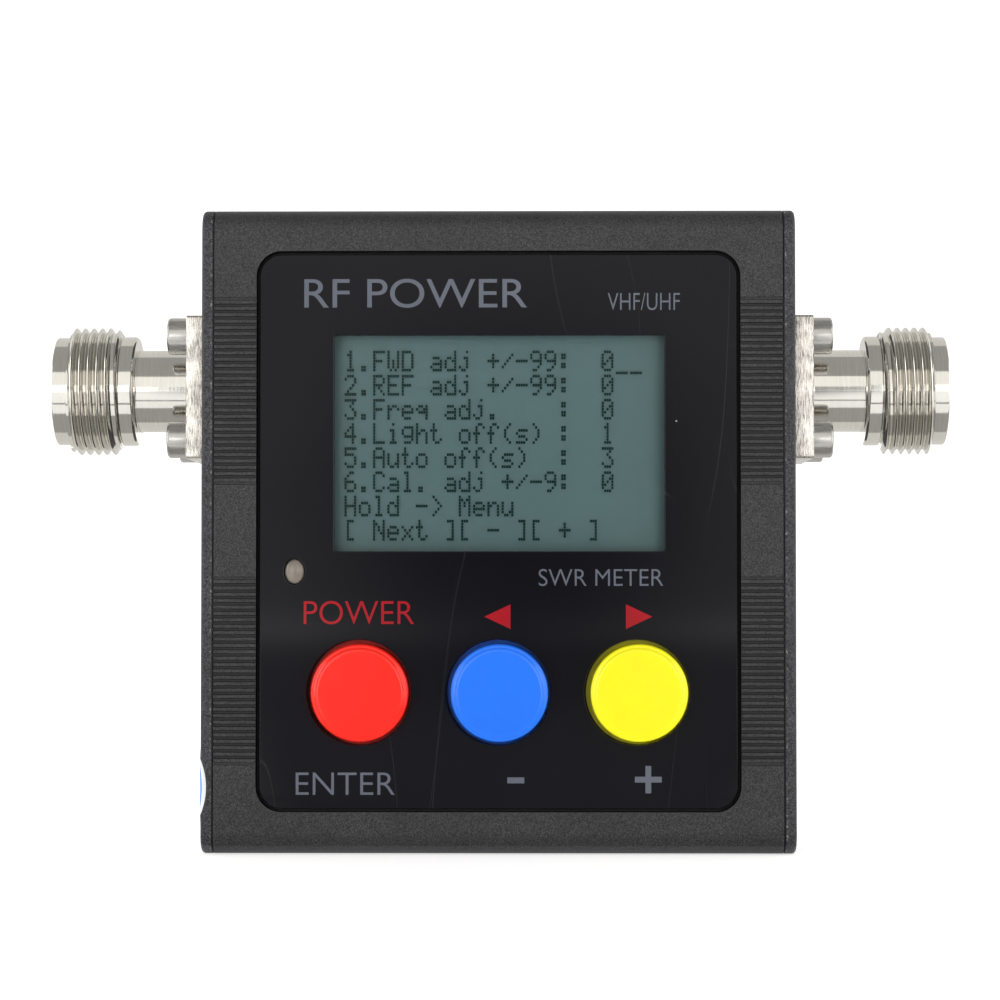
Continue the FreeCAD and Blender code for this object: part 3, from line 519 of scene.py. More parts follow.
def wornGloss(name, colour):
    # clear acrylic over ink: a hard gloss with hairline scratches and a little dust on it
    material, tree, shader = startMaterial(name, Roughness=0.07, IOR=1.49)
    point = objectPoint(tree)
    marks = glossMarks(tree, point, 0.045, 0.035)
    mottled = addNode(tree, "TexNoise", {"Vector": point, "Scale": grains(14), "Detail": 3.0})
    base = tinted(tree, colour, mottled, 0.75, 1.25)
    mixed = addNode(tree, "Mix", {"Factor": marks, "A": base, "B": hexColour("b4b4b8")}, data_type="RGBA")
    haze = addNode(tree, "MapRange", {"Value": marks, "To Min": 0.06, "To Max": 0.5})
    feed(tree, shader, Base_Color=mixed, Roughness=haze)
    return material


def glossMarks(tree, point, strength, dustShare):
    # long faint scratches in four directions, and dust
    lines = 0.0
    for size, width, seed, squeeze, lean in ((26, 0.0016, 1.3, 0.12, 0.5), (18, 0.0018, 7.7, 0.1, -0.35),
                                             (30, 0.0016, 4.2, 0.3, 1.2), (12, 0.002, 9.4, 0.2, 0.9)):
        slanted = objectPoint(tree, stretch=(1.0, 1.0, squeeze), turn=(0, lean, 0))
        line = hairlines(tree, slanted, size, width, seed)
        lines = addNode(tree, "Math", {0: line, 1: lines}, operation="MAXIMUM")
    faint = addNode(tree, "Math", {0: lines, 1: strength}, operation="MULTIPLY")
    dust = specks(tree, point, 1.9, 0.14, dustShare, 3.1)
    return addNode(tree, "Math", {0: faint, 1: dust}, operation="MAXIMUM")


def clearAcrylic():
    # the window: see-through, with the panel's gloss and scratches; light passes straight through
    material, tree, shader = startMaterial("clearAcrylic")
    marks = glossMarks(tree, objectPoint(tree), 0.045, 0.05)
    clear = addNode(tree, "BsdfTransparent", {"Color": hexColour("f6f8f7")})
    gloss = addNode(tree, "BsdfGlossy", {"Roughness": 0.05, "Color": (1, 1, 1, 1)})
    white = addNode(tree, "BsdfDiffuse", {"Color": hexColour("c8ccd0")})
    glance = addNode(tree, "Fresnel", {"IOR": 1.49})
    face = addNode(tree, "NewGeometry")
    outer = addNode(tree, "Math", {0: 1.0, 1: face.outputs["Backfacing"]}, operation="SUBTRACT")
    front = addNode(tree, "Math", {0: glance, 1: outer}, operation="MULTIPLY")
    shiny = addNode(tree, "MixShader", {0: front, 1: clear, 2: gloss})
    marked = addNode(tree, "MixShader", {0: marks, 1: shiny, 2: white})
    tree.nodes.remove(shader)
    feed(tree, tree.nodes["Material Output"], Surface=marked)
    return material


def evenFinish(name, colour, roughness=0.38, grain=0.25, depth=0.006, shine=0.5):
    # moulded plastic, film, rubber or black oxide: an even, opaque colour with a faint grain
    material, tree, shader = startMaterial(name, Roughness=roughness, IOR=1.52, Specular_IOR_Level=shine)
    point = objectPoint(tree)
    fine = addNode(tree, "TexNoise", {"Vector": point, "Scale": grains(grain), "Detail": 3.0})
    broad = addNode(tree, "TexNoise", {"Vector": point, "Scale": grains(3), "Detail": 2.0})
    base = tinted(tree, colour, broad, 0.95, 1.05)
    rough = addNode(tree, "MapRange", {"Value": fine, "To Min": roughness - 0.06,
                                       "To Max": roughness + 0.06})
    bump = addNode(tree, "Bump", {"Height": fine, "Strength": 0.4, "Distance": depth * mm})
    feed(tree, shader, Base_Color=base, Roughness=rough, Normal=bump)
    return material


def machinedMetal(name, colour, roughness, stretch, lineSize=0.08, depth=0.01, contrast=0.12):
    # bright metal with fine tool lines; stretch draws the noise out into lines along an axis
    material, tree, shader = startMaterial(name, Metallic=1.0, Roughness=roughness)
    point = objectPoint(tree, stretch=stretch)
    lines = addNode(tree, "TexNoise", {"Vector": point, "Scale": grains(lineSize), "Detail": 3.0,
                                       "Roughness": 0.6})
    stains = addNode(tree, "TexNoise", {"Vector": objectPoint(tree), "Scale": grains(2.5), "Detail": 4.0})
    drawn = addNode(tree, "Math", {0: lines, 1: 0.7}, operation="MULTIPLY")
    blend = addNode(tree, "Math", {0: stains, 1: 0.3, 2: drawn},
                    operation="MULTIPLY_ADD")
    base = tinted(tree, colour, blend, 1 - contrast, 1 + contrast, 0.35, 0.65)
    rough = addNode(tree, "MapRange", {"Value": lines, "From Min": 0.3, "From Max": 0.7,
                                       "To Min": roughness * 0.7, "To Max": roughness * 1.5})
    bump = addNode(tree, "Bump", {"Height": lines, "Strength": 0.5, "Distance": depth * mm})
    feed(tree, shader, Base_Color=base, Roughness=rough, Normal=bump)
    return material


# turned and milled nickel plate: bright rings round the barrel, dull streaks down the flange
# screw steel is plainer and greyer; gold is thin and warm; PTFE is a waxy white
shellFinish = anodised("blastedAnodisedShell", "050507", "4c4b4e", 0.13, pocketShade)
plateFinish = anodised("blastedAnodisedPlate", "020203", "56555b", 0.17, seamShade, seamChips)
panelFinish = wornGloss("backPrintedAcrylic", "121116")
greyInk = wornGloss("greyPrint", "666a75")
redInk = wornGloss("redPrint", "a81c26")
nickelTurned = machinedMetal("turnedNickelPlate", "d8d5ce", 0.09, (1, 0.03, 0.03), 0.1, 0.0015, 0.06)
nickelMilled = machinedMetal("milledNickelPlate", "bfbab3", 0.24, (1, 1, 0.08), 0.08, 0.04, 0.8)
screwSteel = machinedMetal("stainlessScrew", "b4b2ae", 0.24, (0.1, 1, 1), 0.2, 0.01)
blackScrew = evenFinish("blackOxideScrew", "1c1c1e", 0.35, 0.1, 0.01)
goldPlate = machinedMetal("goldPlate", "e6c274", 0.18, (1, 0.1, 0.1))
ptfe = evenFinish("turnedPtfe", "e9e9e4", 0.42, 0.3)
print("main finishes ready")


# --- push buttons ---

buttonLook = {
    "power": {"x": -16.2, "colour": "ff1b00"},
    "minus": {"x": 0.15, "colour": "1478ff"},
    "plus": {"x": 16.5, "colour": "fff700"},
}
capShape = {
    "z": 19.0,
    "top": -23.199,
    "bottom": -17.0,
    "radius": 5.7,
    "flatRadius": 4.9,  # edge of the slightly raised middle
    "ringWidth": 0.24,
    "ringDrop": 0.06,
    "rimDrop": 0.22,
    "edge": 0.35,
    "skirtRadius": 6.7,
    "skirt": 0.9,
    "wall": 1.2,
    "ceiling": 2.2,
}


def quarterRound(radius, height, size, steps=5):
    # the points of a rounded outer edge, from its flat top to its straight side
    turns = [math.radians(90 - 90 * i / steps) for i in range(steps + 1)]
    return [(radius - size + size * math.cos(a), height - size + size * math.sin(a)) for a in turns]


def makeCap(key):
    look = buttonLook[key]
    radius = capShape["radius"]
    height = capShape["bottom"] - capShape["top"]
    rim = height - capShape["rimDrop"]
    inner = radius - capShape["wall"]
    flat = capShape["flatRadius"]
    outer = flat + capShape["ringWidth"]
    step = [(flat - 0.1, height), (flat, height - 0.004), (outer, height - capShape["ringDrop"]),
            (outer + 0.1, rim + 0.05), (outer + 0.17, rim)]
    profile = [
        (0, height), *step, *quarterRound(radius, rim, capShape["edge"]),
        (radius, capShape["skirt"]), (capShape["skirtRadius"], capShape["skirt"]),
        (capShape["skirtRadius"], 0), (inner, 0),
        (inner, height - capShape["ceiling"]), (0, height - capShape["ceiling"]),
    ]
    bm = turned(profile, 128)
    bm.transform(alongY(look["x"], capShape["bottom"], capShape["z"]))
    finish = evenFinish("mouldedAbs" + key.title(), look["colour"], 0.22, 0.35, 0.002)
    cap = addObject(key + "Cap", meshFrom(key + "Cap", bm), finish, key + "_body", 40, 1)
    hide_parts(key + "_button")


for key in buttonLook:
    makeCap(key)
print("button caps ready")


# --- front panel ---

def frontPlate(bm, front, back):
    # stands a flat shape up so that it spans two distances in Y
    place = Matrix.Translation((0, (front + back) / 2 * mm, 0))
    bm.transform(place @ Matrix.Rotation(math.radians(90), 4, "X"))
    return bm


def makePanel():
    thickness = panelShape["back"] - panelShape["front"]
    hole = 2 * panelShape["holeRadius"]
    outlines = [(0, panelShape["middle"], panelShape["width"], panelShape["height"], panelShape["radius"]),
                panelShape["window"], (*panelShape["lamp"], None)]
    outlines += [(look["x"] + panelShape["holeShift"], capShape["z"], hole, hole, None)
                 for look in buttonLook.values()]
    bm = frontPlate(flatShape("panel", outlines, thickness, panelShape["edge"]),
                    panelShape["front"], panelShape["back"])
    panel = addObject("frontPanel", meshFrom("frontPanel", bm), panelFinish, casing, 35, 1)
    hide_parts("front_panel")
    pane = flatShape("pane", [panelShape["window"]], thickness, 0.0)
    window = frontPlate(pane, panelShape["front"], panelShape["back"])
    glass = addObject("displayWindow", meshFrom("displayWindow", window), clearAcrylic(), casing)


makePanel()
print("panel ready")

# --- printing on the panel ---

# words, left, right, bottom, top in mm
greyWords = [
    ("RF POWER", -22.9, 3.4, 64.3, 67.75, 0.0),
    ("VHF/UHF", 12.9, 21.4, 64.0, 66.05, -0.007),
    ("SWR METER", 4.75, 19.4, 31.5, 33.5, -0.007),
    ("ENTER", -23.8, -12.15, 7.0, 9.6, -0.007),
]
redWords = [("POWER", -22.9, -9.9, 27.0, 29.75, -0.007)]
minusSign = (2.05, 8.7, 2.0, 0.7)  # x, z, width, height
plusSign = {"x": 17.6, "z": 8.8, "width": 3.15, "height": 3.2, "bar": 0.68}
arrows = {"z": 27.9, "halfHeight": 1.45, "ends": ((-1.65, 1.44), (18.1, 15.0))}  # tip and base of each
inkProud = 0.012


def addWords(bm, words, left, right, bottom, top, weight):
    text = bpy.data.curves.new(words, "FONT")
    text.body = words
    text.resolution_u = 8
    text.extrude = 0.0001
    text.offset = weight
    holder = bpy.data.objects.new(words, text)
    mesh = bpy.data.meshes.new_from_object(holder)
    bpy.data.objects.remove(holder)
    lettering = bmesh.new()
    lettering.from_mesh(mesh)
    bpy.data.meshes.remove(mesh)
    xs = [v.co.x for v in lettering.verts]
    ys = [v.co.y for v in lettering.verts]
    scale = ((right - left) / (max(xs) - min(xs)) * mm, (top - bottom) / (max(ys) - min(ys)) * mm)
    for v in lettering.verts:
        v.co.x = left * mm + (v.co.x - min(xs)) * scale[0]
        v.co.y = bottom * mm + (v.co.y - min(ys)) * scale[1]
        v.co.z = math.copysign(inkProud * mm, v.co.z)
    mesh = bpy.data.meshes.new(words)
    lettering.to_mesh(mesh)
    lettering.free()
    bm.from_mesh(mesh)
    bpy.data.meshes.remove(mesh)


def addBar(bm, x, z, width, height):
    place = Matrix.Translation((x * mm, z * mm, 0))
    size = Matrix.Diagonal((width * mm, height * mm, 2 * inkProud * mm, 1))
    bmesh.ops.create_cube(bm, size=1, matrix=place @ size)


def addArrow(bm, tip, base, z, halfHeight):
    made = bmesh.ops.create_cone(bm, cap_ends=True, segments=3, radius1=1, radius2=1, depth=2 * inkProud * mm)
    xs = [v.co.x for v in made["verts"]]
    ys = [v.co.y for v in made["verts"]]
    point = max(ys)
    for v in made["verts"]:
        along = (v.co.y - min(ys)) / (point - min(ys))
        across = v.co.x / max(xs)
        v.co.x = (base + (tip - base) * along) * mm
        v.co.y = (z + across * halfHeight) * mm


def makeInk():
    y = panelShape["front"]
    grey = bmesh.new()
    for line in greyWords:
        addWords(grey, *line)
    addBar(grey, *minusSign)
    x, z, bar = plusSign["x"], plusSign["z"], plusSign["bar"]
    for side in (-1, 1):
        addBar(grey, x + side * (plusSign["width"] + bar) / 4, z, (plusSign["width"] - bar) / 2, bar)
    addBar(grey, x, z, bar, plusSign["height"])
    red = bmesh.new()
    for line in redWords:
        addWords(red, *line)
    for tip, base in arrows["ends"]:
        addArrow(red, tip, base, arrows["z"], arrows["halfHeight"])
    for name, bm, ink in (("greyPrinting", grey, greyInk), ("redPrinting", red, redInk)):
        piece = addObject(name, meshFrom(name, frontPlate(bm, y, y)), ink, casing)


makeInk()
print("printing ready")

# --- display ---

display = {
    "x": 0.1,
    "z": 48.3,
    "glass": (42.5, 31.2),
    "front": -19.0,
    "back": -17.0,
    "reflector": -18.6,  # the tinted rear polariser, behind the dots
    "firstDot": (-18.25, 59.4),  # left and top of the first character
    "pitch": (0.282, 0.358),
    "dot": (0.25, 0.315),
    "cell": (6, 8),
}
menu = [
    "1.FWD adj +/-99:  0",
    "2.REF adj +/-99:  0",
    "3.Freq adj.    :  0",
    "4.Light off(s) :  1",
    "5.Auto off(s)  :  3",
    "6.Cal. adj +/-9:  0",
    "Hold -> Menu",
    "[ Next ][ - ][ + ]",
]
# five by seven dot letters, one row after another
letters = {
    "0": ".###. #...# #..## #.#.# ##..# #...# .###.",
    "1": "..#.. .##.. ..#.. ..#.. ..#.. ..#.. .###.",
    "2": ".###. #...# ....# ...#. ..#.. .#... #####",
    "3": "##### ...#. ..#.. ...#. ....# #...# .###.",
    "4": "...#. ..##. .#.#. #..#. ##### ...#. ...#.",
    "5": "##### #.... ####. ....# ....# #...# .###.",
    "6": "..##. .#... #.... ####. #...# #...# .###.",
    "9": ".###. #...# #...# .#### ....# ...#. .##..",
    "A": ".###. #...# #...# ##### #...# #...# #...#",
    "C": ".###. #...# #.... #.... #.... #...# .###.",
    "D": "####. #...# #...# #...# #...# #...# ####.",
    "E": "##### #.... #.... ####. #.... #.... #####",
    "F": "##### #.... #.... ####. #.... #.... #....",
    "H": "#...# #...# #...# ##### #...# #...# #...#",
    "L": "#.... #.... #.... #.... #.... #.... #####",
    "M": "#...# ##.## #.#.# #.#.# #...# #...# #...#",
    "N": "#...# ##..# #.#.# #.#.# #..## #...# #...#",
    "R": "####. #...# #...# ####. #.#.. #..#. #...#",
    "W": "#...# #...# #...# #.#.# #.#.# #.#.# .#.#.",
    "a": "..... ..... .###. ....# .#### #...# .####",
    "d": "....# ....# .##.# #..## #...# #...# .####",
    "e": "..... ..... .###. #...# ##### #.... .###.",
    "f": "..##. .#..# .#... ###.. .#... .#... .#...",
    "g": "..... .#### #...# #...# .#### ....# .###.",
    "h": "#.... #.... #.##. ##..# #...# #...# #...#",
    "i": "..#.. ..... .##.. ..#.. ..#.. ..#.. .###.",
    "j": "...#. ..... ..##. ...#. ...#. #..#. .##..",
    "l": ".##.. ..#.. ..#.. ..#.. ..#.. ..#.. .###.",
    "n": "..... ..... #.##. ##..# #...# #...# #...#",
    "o": "..... ..... .###. #...# #...# #...# .###.",
    "q": "..... ..... .##.# #..## .#### ....# ....#",
    "r": "..... ..... #.##. ##..# #.... #.... #....",
    "s": "..... ..... .#### #.... .###. ....# ####.",
    "t": ".#... .#... ###.. .#... .#... .#..# ..##.",
    "u": "..... ..... #...# #...# #...# #..## .##.#",
    "x": "..... ..... #...# .#.#. ..#.. .#.#. #...#",
    "+": "..... ..#.. ..#.. ##### ..#.. ..#.. .....",
    "-": "..... ..... ..... ##### ..... ..... .....",
    "/": "..... ....# ...#. ..#.. .#... #.... .....",
    ".": "..... ..... ..... ..... ..... .##.. .##..",
    ":": "..... .##.. .##.. ..... .##.. .##.. .....",
    "(": "...#. ..#.. .#... .#... .#... ..#.. ...#.",
    ")": ".#... ..#.. ...#. ...#. ...#. ..#.. .#...",
    "[": ".###. .#... .#... .#... .#... .#... .###.",
    "]": ".###. ...#. ...#. ...#. ...#. ...#. .###.",
    ">": ".#... ..#.. ...#. ....# ...#. ..#.. .#...",
}


def screenFinish():
    # the green-grey rear polariser of an unlit display, with painted shade towards the window's edges
    material, tree, shader = startMaterial("rearPolariser", Roughness=0.45, IOR=1.5)
    place = addNode(tree, "TexCoord")
    parts = addNode(tree, "SeparateXYZ", {"Vector": place.outputs["Object"]})
    x, z, width, height, _ = panelShape["window"]
    edgeShades = []
    # painted shade: darker within a millimetre of the window's edges, on each axis
    for axis, middle, half in ((0, x, width / 2), (2, z, height / 2)):
        off = addNode(tree, "Math", {0: parts.outputs[axis], 1: middle * mm}, operation="SUBTRACT")
        away = addNode(tree, "Math", {0: off}, operation="ABSOLUTE")
        fade = addNode(tree, "MapRange", {"Value": away, "From Min": (half - 1.0) * mm,
                                          "From Max": half * mm, "To Min": 1.0, "To Max": 0.86},
                       interpolation_type="SMOOTHSTEP")
        edgeShades.append(fade)
    fine = addNode(tree, "TexNoise", {"Vector": place.outputs["Object"], "Scale": grains(0.12), "Detail": 2.0})
    broad = addNode(tree, "TexNoise", {"Vector": place.outputs["Object"], "Scale": grains(16), "Detail": 2.0})
    tone = addNode(tree, "Mix", {"Factor": broad, "A": hexColour("526f74"),
                                 "B": hexColour("597679")}, data_type="RGBA")
    speck = addNode(tree, "MapRange", {"Value": fine, "To Min": 0.92, "To Max": 1.08})
    both = addNode(tree, "Math", {0: edgeShades[0], 1: edgeShades[1]}, operation="MULTIPLY")
    level = addNode(tree, "Math", {0: both, 1: speck}, operation="MULTIPLY")
    base = addNode(tree, "VectorMath", {0: tone, "Scale": level},
                   operation="SCALE")
    feed(tree, shader, Base_Color=base)
    return material


def addDot(bm, column, row):
    x = display["firstDot"][0] + (column + 0.5) * display["pitch"][0]
    z = display["firstDot"][1] - (row + 0.5) * display["pitch"][1]
    place = Matrix.Translation((x * mm, z * mm, 0))
    size = Matrix.Diagonal((display["dot"][0] * mm, display["dot"][1] * mm, 0.02 * mm, 1))
    bmesh.ops.create_cube(bm, size=1, matrix=place @ size)


def makeDisplay():
    cell = display["cell"]
    bm = bmesh.new()
    for line, words in enumerate(menu):
        for place, letter in enumerate(words):
            for row, bits in enumerate(letters.get(letter, "").split()):
                for column, bit in enumerate(bits):
                    if bit == "#":
                        addDot(bm, place * cell[0] + column, line * cell[1] + row)
    for column in range(11):  # the cursor under the first line's last two places
        if column != 5:
            addDot(bm, 19 * cell[0] + column, 7)
    dotPlane = (display["front"] + display["reflector"]) / 2
    dotFinish = evenFinish("liquidCrystalDots", "123433", 0.5, 0.1, 0.001, 0.1)
    dots = addObject("displayDots", meshFrom("displayDots", frontPlate(bm, dotPlane, dotPlane)), dotFinish,
                     casing)
    outline = (display["x"], display["z"], *display["glass"], 0.2)
    screen = flatShape("screen", [outline], display["back"] - display["reflector"], 0.05)
    frontPlate(screen, display["reflector"], display["back"])
    glass = addObject("displayScreen", meshFrom("displayScreen", screen), screenFinish(), casing)
    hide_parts("lcd_glass")


makeDisplay()
print("display ready")

# --- status lamp ---

lamp = {"x": -24.0, "z": 33.2, "width": 2.35, "height": 2.95, "front": -20.85, "foot": -15.5}


def makeLamp():
    depth = lamp["foot"] - lamp["front"]
    arc = [(math.cos(math.radians(a)), math.sin(math.radians(a))) for a in range(0, 91, 10)]
    dome = [(c, depth - 0.75 + 0.75 * s) for c, s in reversed(arc)]
    bm = turned([*dome, (1, 0), (1.35, 0), (1.35, -0.8), (0, -0.8)], 64)
    bmesh.ops.scale(bm, vec=(lamp["width"] / 2, lamp["height"] / 2, 1), verts=bm.verts)
    bm.transform(alongY(lamp["x"], lamp["foot"], lamp["z"]))
    # diffused epoxy: milky and faintly see-through, so light bleeds through its skin
    finish, tree, shader = startMaterial("diffusedEpoxy", Roughness=0.22, IOR=1.54)
    cloud = addNode(tree, "TexNoise", {"Vector": objectPoint(tree), "Scale": grains(0.7), "Detail": 2.0})
    tone = addNode(tree, "Mix", {"Factor": cloud, "A": hexColour("776e61"),
                                 "B": hexColour("948d84")}, data_type="RGBA")
    feed(tree, shader, Base_Color=tone)
    shader.inputs["Subsurface Weight"].default_value = 0.25
    shader.inputs["Subsurface Radius"].default_value = (1, 0.9, 0.7)
    shader.inputs["Subsurface Scale"].default_value = 0.4 * mm
    lens = addObject("statusLamp", meshFrom("statusLamp", bm), finish, casing, 50)
    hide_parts("status_led")


makeLamp()
print("lamp ready")

# --- RF jacks ---

jack = {
    "z": 55.8,
    "innerEnd": 31.0,
    "innerBore": 3.3,
    "neck": 5.3,
    "plate": 35.0,
    "flangeEnd": 38.27,
    "flange": 17.5,
    "holes": 12.7,
    "screwHole": 2.8,
    "barrel": 5.1,
    "barrelEnd": 45.05,
    "collar": 6.8,
    "collarEnd": 46.9,
    "undercut": 6.45,
    "threadRoot": 7.27,
    "threadCrest": 7.93,
    "threadStart": 46.95,
    "pitch": 1.058,
    "turns": 6.04,
    "phase": {"right": 112, "left": 180},  # degrees that each thread is turned about its jack
    "rim": 6.7,
    "rimStart": 53.3,
    "rimEnd": 55.1,
    "mouth": 4.1,
    "depth": 9.0,
}
screw = {"head": 2.25, "height": 2.4, "rounding": 0.4, "hex": 2.0, "hexDepth": 1.3,
         "shank": 1.22, "length": 8.0}


def threadRidge():
    # a rounded vee ridge wound by a screw spin, which grows out of the undercut and sinks away at the rim
    crest, root, pitch = jack["threadCrest"], jack["threadRoot"], jack["pitch"]
    low = root - 0.15
    section = [(low, -0.5), (root, -0.47), (crest - 0.16, -0.15), (crest - 0.03, -0.07), (crest, 0),
               (crest - 0.03, 0.07), (crest - 0.16, 0.15), (root, 0.47), (low, 0.5)]
    bm = bmesh.new()
    start = jack["threadStart"]
    chain = [bm.verts.new((r * mm, 0, (start + d * pitch) * mm)) for r, d in section]
    edges = [bm.edges.new(pair) for pair in zip(chain, chain[1:] + chain[:1])]
    bm.faces.new(chain)
    perTurn = 72
    steps = round(jack["turns"] * perTurn)
    bmesh.ops.spin(bm, geom=chain + edges, cent=(0, 0, 0), axis=(0, 0, 1),
                   dvec=(0, 0, pitch * mm / perTurn), angle=math.tau * steps / perTurn, steps=steps,
                   use_merge=False, use_duplicate=False)
    bmesh.ops.contextual_create(bm, geom=[e for e in bm.edges if len(e.link_faces) == 1])
    bm.verts.ensure_lookup_table()
    length = steps / perTurn * pitch
    for v in bm.verts:
        along = v.index // len(section) / perTurn * pitch  # how far this ring has wound
        middle = start + along
        radius = math.hypot(v.co.x, v.co.y) / mm
        fade = min(1, along / 0.75, (length - along + 0.3) / 0.7)
        wanted = low + (radius - low) * fade
        v.co.x *= wanted / radius
        v.co.y *= wanted / radius
        v.co.z = min((middle + (v.co.z / mm - middle) * min(1, along / 0.75 + 0.02)), jack["rimStart"]) * mm
    bmesh.ops.recalc_face_normals(bm, faces=bm.faces)
    return bm


def turnedJack():
    root, rimEnd = jack["threadRoot"], jack["rimEnd"]
    inner, neck, bore = jack["innerEnd"], jack["neck"], jack["innerBore"]
    profile = [
        (bore, inner), (neck, inner), (neck, jack["plate"] + 0.5), (neck, jack["flangeEnd"] - 0.2),
        (jack["barrel"] + 0.25, jack["flangeEnd"]), (jack["barrel"], jack["flangeEnd"] + 0.25),
        (jack["barrel"], jack["barrelEnd"]), (jack["collar"] - 0.25, jack["barrelEnd"]),
        (jack["collar"], jack["barrelEnd"] + 0.25), (jack["collar"], jack["collarEnd"]),
        (jack["undercut"], jack["collarEnd"]), (jack["undercut"], jack["threadStart"] + 0.2),
        (root, jack["threadStart"] + 0.2), (root, jack["rimStart"]), (jack["rim"], jack["rimStart"]),
        (jack["rim"], rimEnd - 0.12), (jack["rim"] - 0.12, rimEnd),
        (jack["mouth"] + 0.35, rimEnd), (jack["mouth"], rimEnd - 0.35),
        (jack["mouth"], rimEnd - jack["depth"]),
        (bore, rimEnd - jack["depth"]), (bore, inner),
    ]
    bm = turned(guarded(profile), 128)
    soften(bm, 0.05, 2, 40)
    return bm


def flangeShape():
    half, hole = jack["holes"] / 2, jack["screwHole"]
    side, middle = jack["flange"], 2 * jack["neck"]
    outlines = [(0, 0, side, side, 0.35), (0, 0, middle, middle, None)]
    outlines += [(x, z, hole, hole, None) for x in (-half, half) for z in (-half, half)]
    thickness = jack["flangeEnd"] - jack["plate"]
    bm = flatShape("flange", outlines, thickness, 0.15)
    bmesh.ops.translate(bm, vec=(0, 0, (jack["plate"] + thickness / 2) * mm), verts=bm.verts)
    return bm


def capScrew():
    radius, height, soft = screw["head"], screw["height"], screw["rounding"]
    socket = screw["hex"] / math.sqrt(3)
    profile = [(screw["shank"], -screw["length"]), (screw["shank"], 0), (radius, 0), (radius, height - soft)]
    angles = [math.radians(a) for a in (22, 45, 68, 90)]
    profile += [(radius - soft + soft * math.cos(a), height - soft + soft * math.sin(a)) for a in angles]
    profile += [(socket * 1.16, height), (socket * 1.02, height - 0.12), (socket, height - screw["hexDepth"]),
                (0, height - screw["hexDepth"] - 0.3)]
    profile.insert(0, (0, -screw["length"]))
    bm = turned(profile, 48)
    squareUp = math.cos(math.pi / 6)
    for v in bm.verts:  # pulls the round socket in to a hexagon
        radiusHere = math.hypot(v.co.x, v.co.y) / mm
        if v.co.z / mm > height - screw["hexDepth"] - 0.1 and 0.01 < radiusHere < socket * 1.03:
            angle = math.atan2(v.co.y, v.co.x) % (math.pi / 3) - math.pi / 6
            pull = squareUp / math.cos(angle)
            v.co.x *= pull
            v.co.y *= pull
    return bm


def copied(bm, matrix):
    other = bm.copy()
    other.transform(matrix)
    return other


def joinAll(parts):
    whole = bmesh.new()
    for part in parts:
        mesh = bpy.data.meshes.new("part")
        part.to_mesh(mesh)
        part.free()
        whole.from_mesh(mesh)
        bpy.data.meshes.remove(mesh)
    return whole


def makeJack(side, name):
    stand = alongX(side, 0, jack["z"])
    ridge = threadRidge()
    ridge.transform(Matrix.Rotation(math.radians(jack["phase"][name]), 4, "Z"))
    body = joinAll([turnedJack(), ridge])
    body.transform(stand)
    piece = addObject(name + "JackBody", meshFrom(name + "JackBody", body), nickelTurned, casing, 35)
    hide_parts(name + "_jack_body")
    flange = flangeShape()
    flange.transform(stand)
    plate = addObject(name + "JackFlange", meshFrom(name + "JackFlange", flange), nickelMilled, casing, 35, 0)
    half = jack["holes"] / 2
    one = capScrew()
    screws = [copied(one, Matrix.Translation((x * mm, z * mm, jack["flangeEnd"] * mm)) @
                     Matrix.Rotation(math.radians(turn), 4, "Z"))
              for x, z, turn in ((-half, -half, 10), (-half, half, 35), (half, -half, 52), (half, half, 21))]
    one.free()
    heads = joinAll(screws)
    heads.transform(stand)
    group = addObject(name + "JackScrews", meshFrom(name + "JackScrews", heads), screwSteel, casing, 35)
    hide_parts(name + "_jack_screws")


for side, name in ((1, "right"), (-1, "left")):
    makeJack(side, name)
print("jacks ready")

# --- finishes of the pieces that keep their CAD shape ---


def solderMask():
    # green solder mask over copper: faint raised tracks under the gloss, and tinned dots
    material, tree, shader = startMaterial("solderMask", Roughness=0.3, IOR=1.5)
    point = objectPoint(tree)
    cells = addNode(tree, "TexVoronoi", {"Vector": point, "Scale": grains(2.4), "Randomness": 0.6},
                    feature="DISTANCE_TO_EDGE", distance="EUCLIDEAN")
    track = addNode(tree, "MapRange", {"Value": cells.outputs["Distance"], "From Min": 0.06, "From Max": 0.09,
                                       "To Min": 1.0, "To Max": 0.0})
    mask = addNode(tree, "Mix", {"Factor": track, "A": hexColour("0d4f28"),
                                 "B": hexColour("1c7a3e")}, data_type="RGBA")
    tinned = specks(tree, point, 2.2, 0.3, 0.35, 5.5)
    base = addNode(tree, "Mix", {"Factor": tinned, "A": mask, "B": hexColour("c9c9c4")},
                   data_type="RGBA")
    bump = addNode(tree, "Bump", {"Height": track, "Strength": 0.5, "Distance": 0.03 * mm})
    feed(tree, shader, Base_Color=base, Metallic=tinned, Normal=bump)
    return material


stickerLook = {"middle": (-14.885, 7.9), "face": 35.1, "ring": (6.1, 6.42),
               "paper": "edeff2", "ink": "5a96eb"}


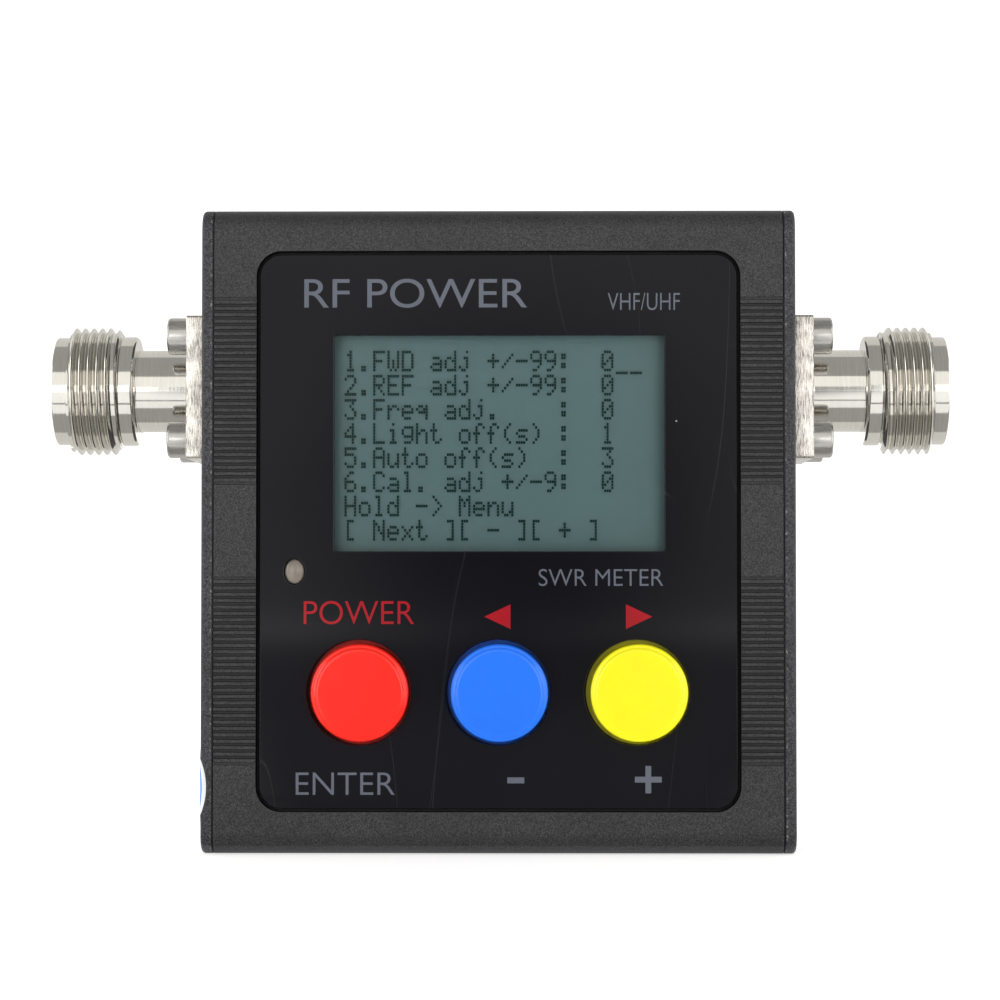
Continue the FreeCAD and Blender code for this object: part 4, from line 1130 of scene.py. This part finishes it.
def stickerPaper():
    # satin label paper with a printed ring that follows the paper round the fold
    material, tree, shader = startMaterial("stickerPaper", Roughness=0.4, IOR=1.5)
    point = objectPoint(tree)
    parts = addNode(tree, "SeparateXYZ", {"Vector": point})
    past = addNode(tree, "Math", {0: parts.outputs[0], 1: stickerLook["face"] * mm}, operation="ADD")
    flat = addNode(tree, "Math", {0: parts.outputs[1], 1: past}, operation="SUBTRACT")
    across = addNode(tree, "Math", {0: flat, 1: stickerLook["middle"][0] * mm}, operation="SUBTRACT")
    up = addNode(tree, "Math", {0: parts.outputs[2], 1: stickerLook["middle"][1] * mm}, operation="SUBTRACT")
    offset = addNode(tree, "CombineXYZ", {"X": across, "Y": up})
    away = addNode(tree, "VectorMath", {0: offset}, operation="LENGTH")
    ring = between(tree, away, *stickerLook["ring"], 0.05)
    fibres = addNode(tree, "TexNoise", {"Vector": point, "Scale": grains(0.4), "Detail": 3.0})
    paper = tinted(tree, stickerLook["paper"], fibres, 0.94, 1.03)
    base = addNode(tree, "Mix", {"Factor": ring, "A": paper, "B": hexColour(stickerLook["ink"])},
                   data_type="RGBA")
    feed(tree, shader, Base_Color=base)
    return material


def setFinish(material, *names):
    for name in names:
        mesh = nodes[name].data
        mesh.materials.clear()
        mesh.materials.append(material)


setFinish(shellFinish, "front_shell", "rear_shell")
setFinish(plateFinish, "left_end_plate", "right_end_plate")
setFinish(blackScrew, "left_plate_screws", "right_plate_screws")
setFinish(ptfe, "left_jack_insulator", "right_jack_insulator")
setFinish(goldPlate, "left_jack_contact", "right_jack_contact", "sense_pins")
# matt black mouldings
setFinish(evenFinish("blackNylon", "17171a", 0.5), "sense_header", "led_spacer", "lcd_frame",
          *(key + "_switch_body" for key in buttonLook))
# pale grey, with cutter lines
setFinish(machinedMetal("milledAluminium", "c2c3c6", 0.3, (0.06, 1, 1), 0.15), "coupler_box", "coupler_lid")
# stamped sheet with rolling lines
setFinish(machinedMetal("springSteel", "b4b2ad", 0.28, (1, 0.1, 1), 0.12), "usb_socket",
          *(key + part for key in buttonLook for part in ("_switch_cover", "_switch_dome")))
setFinish(screwSteel, "board_screws", "coupler_lid_screws")
# soft silver foil with slow dents
setFinish(machinedMetal("pouchFoil", "b6b9bd", 0.36, (1, 1, 0.4), 1.4, 0.06, 0.05), "battery")
setFinish(solderMask(), "main_board", "coupler_board")
# open black foam, with no shine; then milky acrylic, amber film, black epoxy, cream nylon and red silicone
setFinish(evenFinish("foamTape", "2a2a2d", 0.85, 0.35, 0.05), "panel_tape", "battery_pad")
setFinish(evenFinish("lightGuide", "dde3de", 0.22, 0.6), "lcd_backlight")
setFinish(evenFinish("polyimideFilm", "a45f1b", 0.3, 0.8, 0.01), "lcd_ribbon")
setFinish(evenFinish("chipEpoxy", "1a1a1c", 0.55, 0.12, 0.01), "board_components")
setFinish(evenFinish("naturalNylon", "d7d4ca", 0.4), "battery_socket", "battery_plug",
          *(key + "_switch_stem" for key in buttonLook))
setFinish(evenFinish("siliconeSleeve", "a0161b", 0.45, 0.7), "battery_leads")
setFinish(stickerPaper(), "inspection_sticker")
print("inner finishes ready")
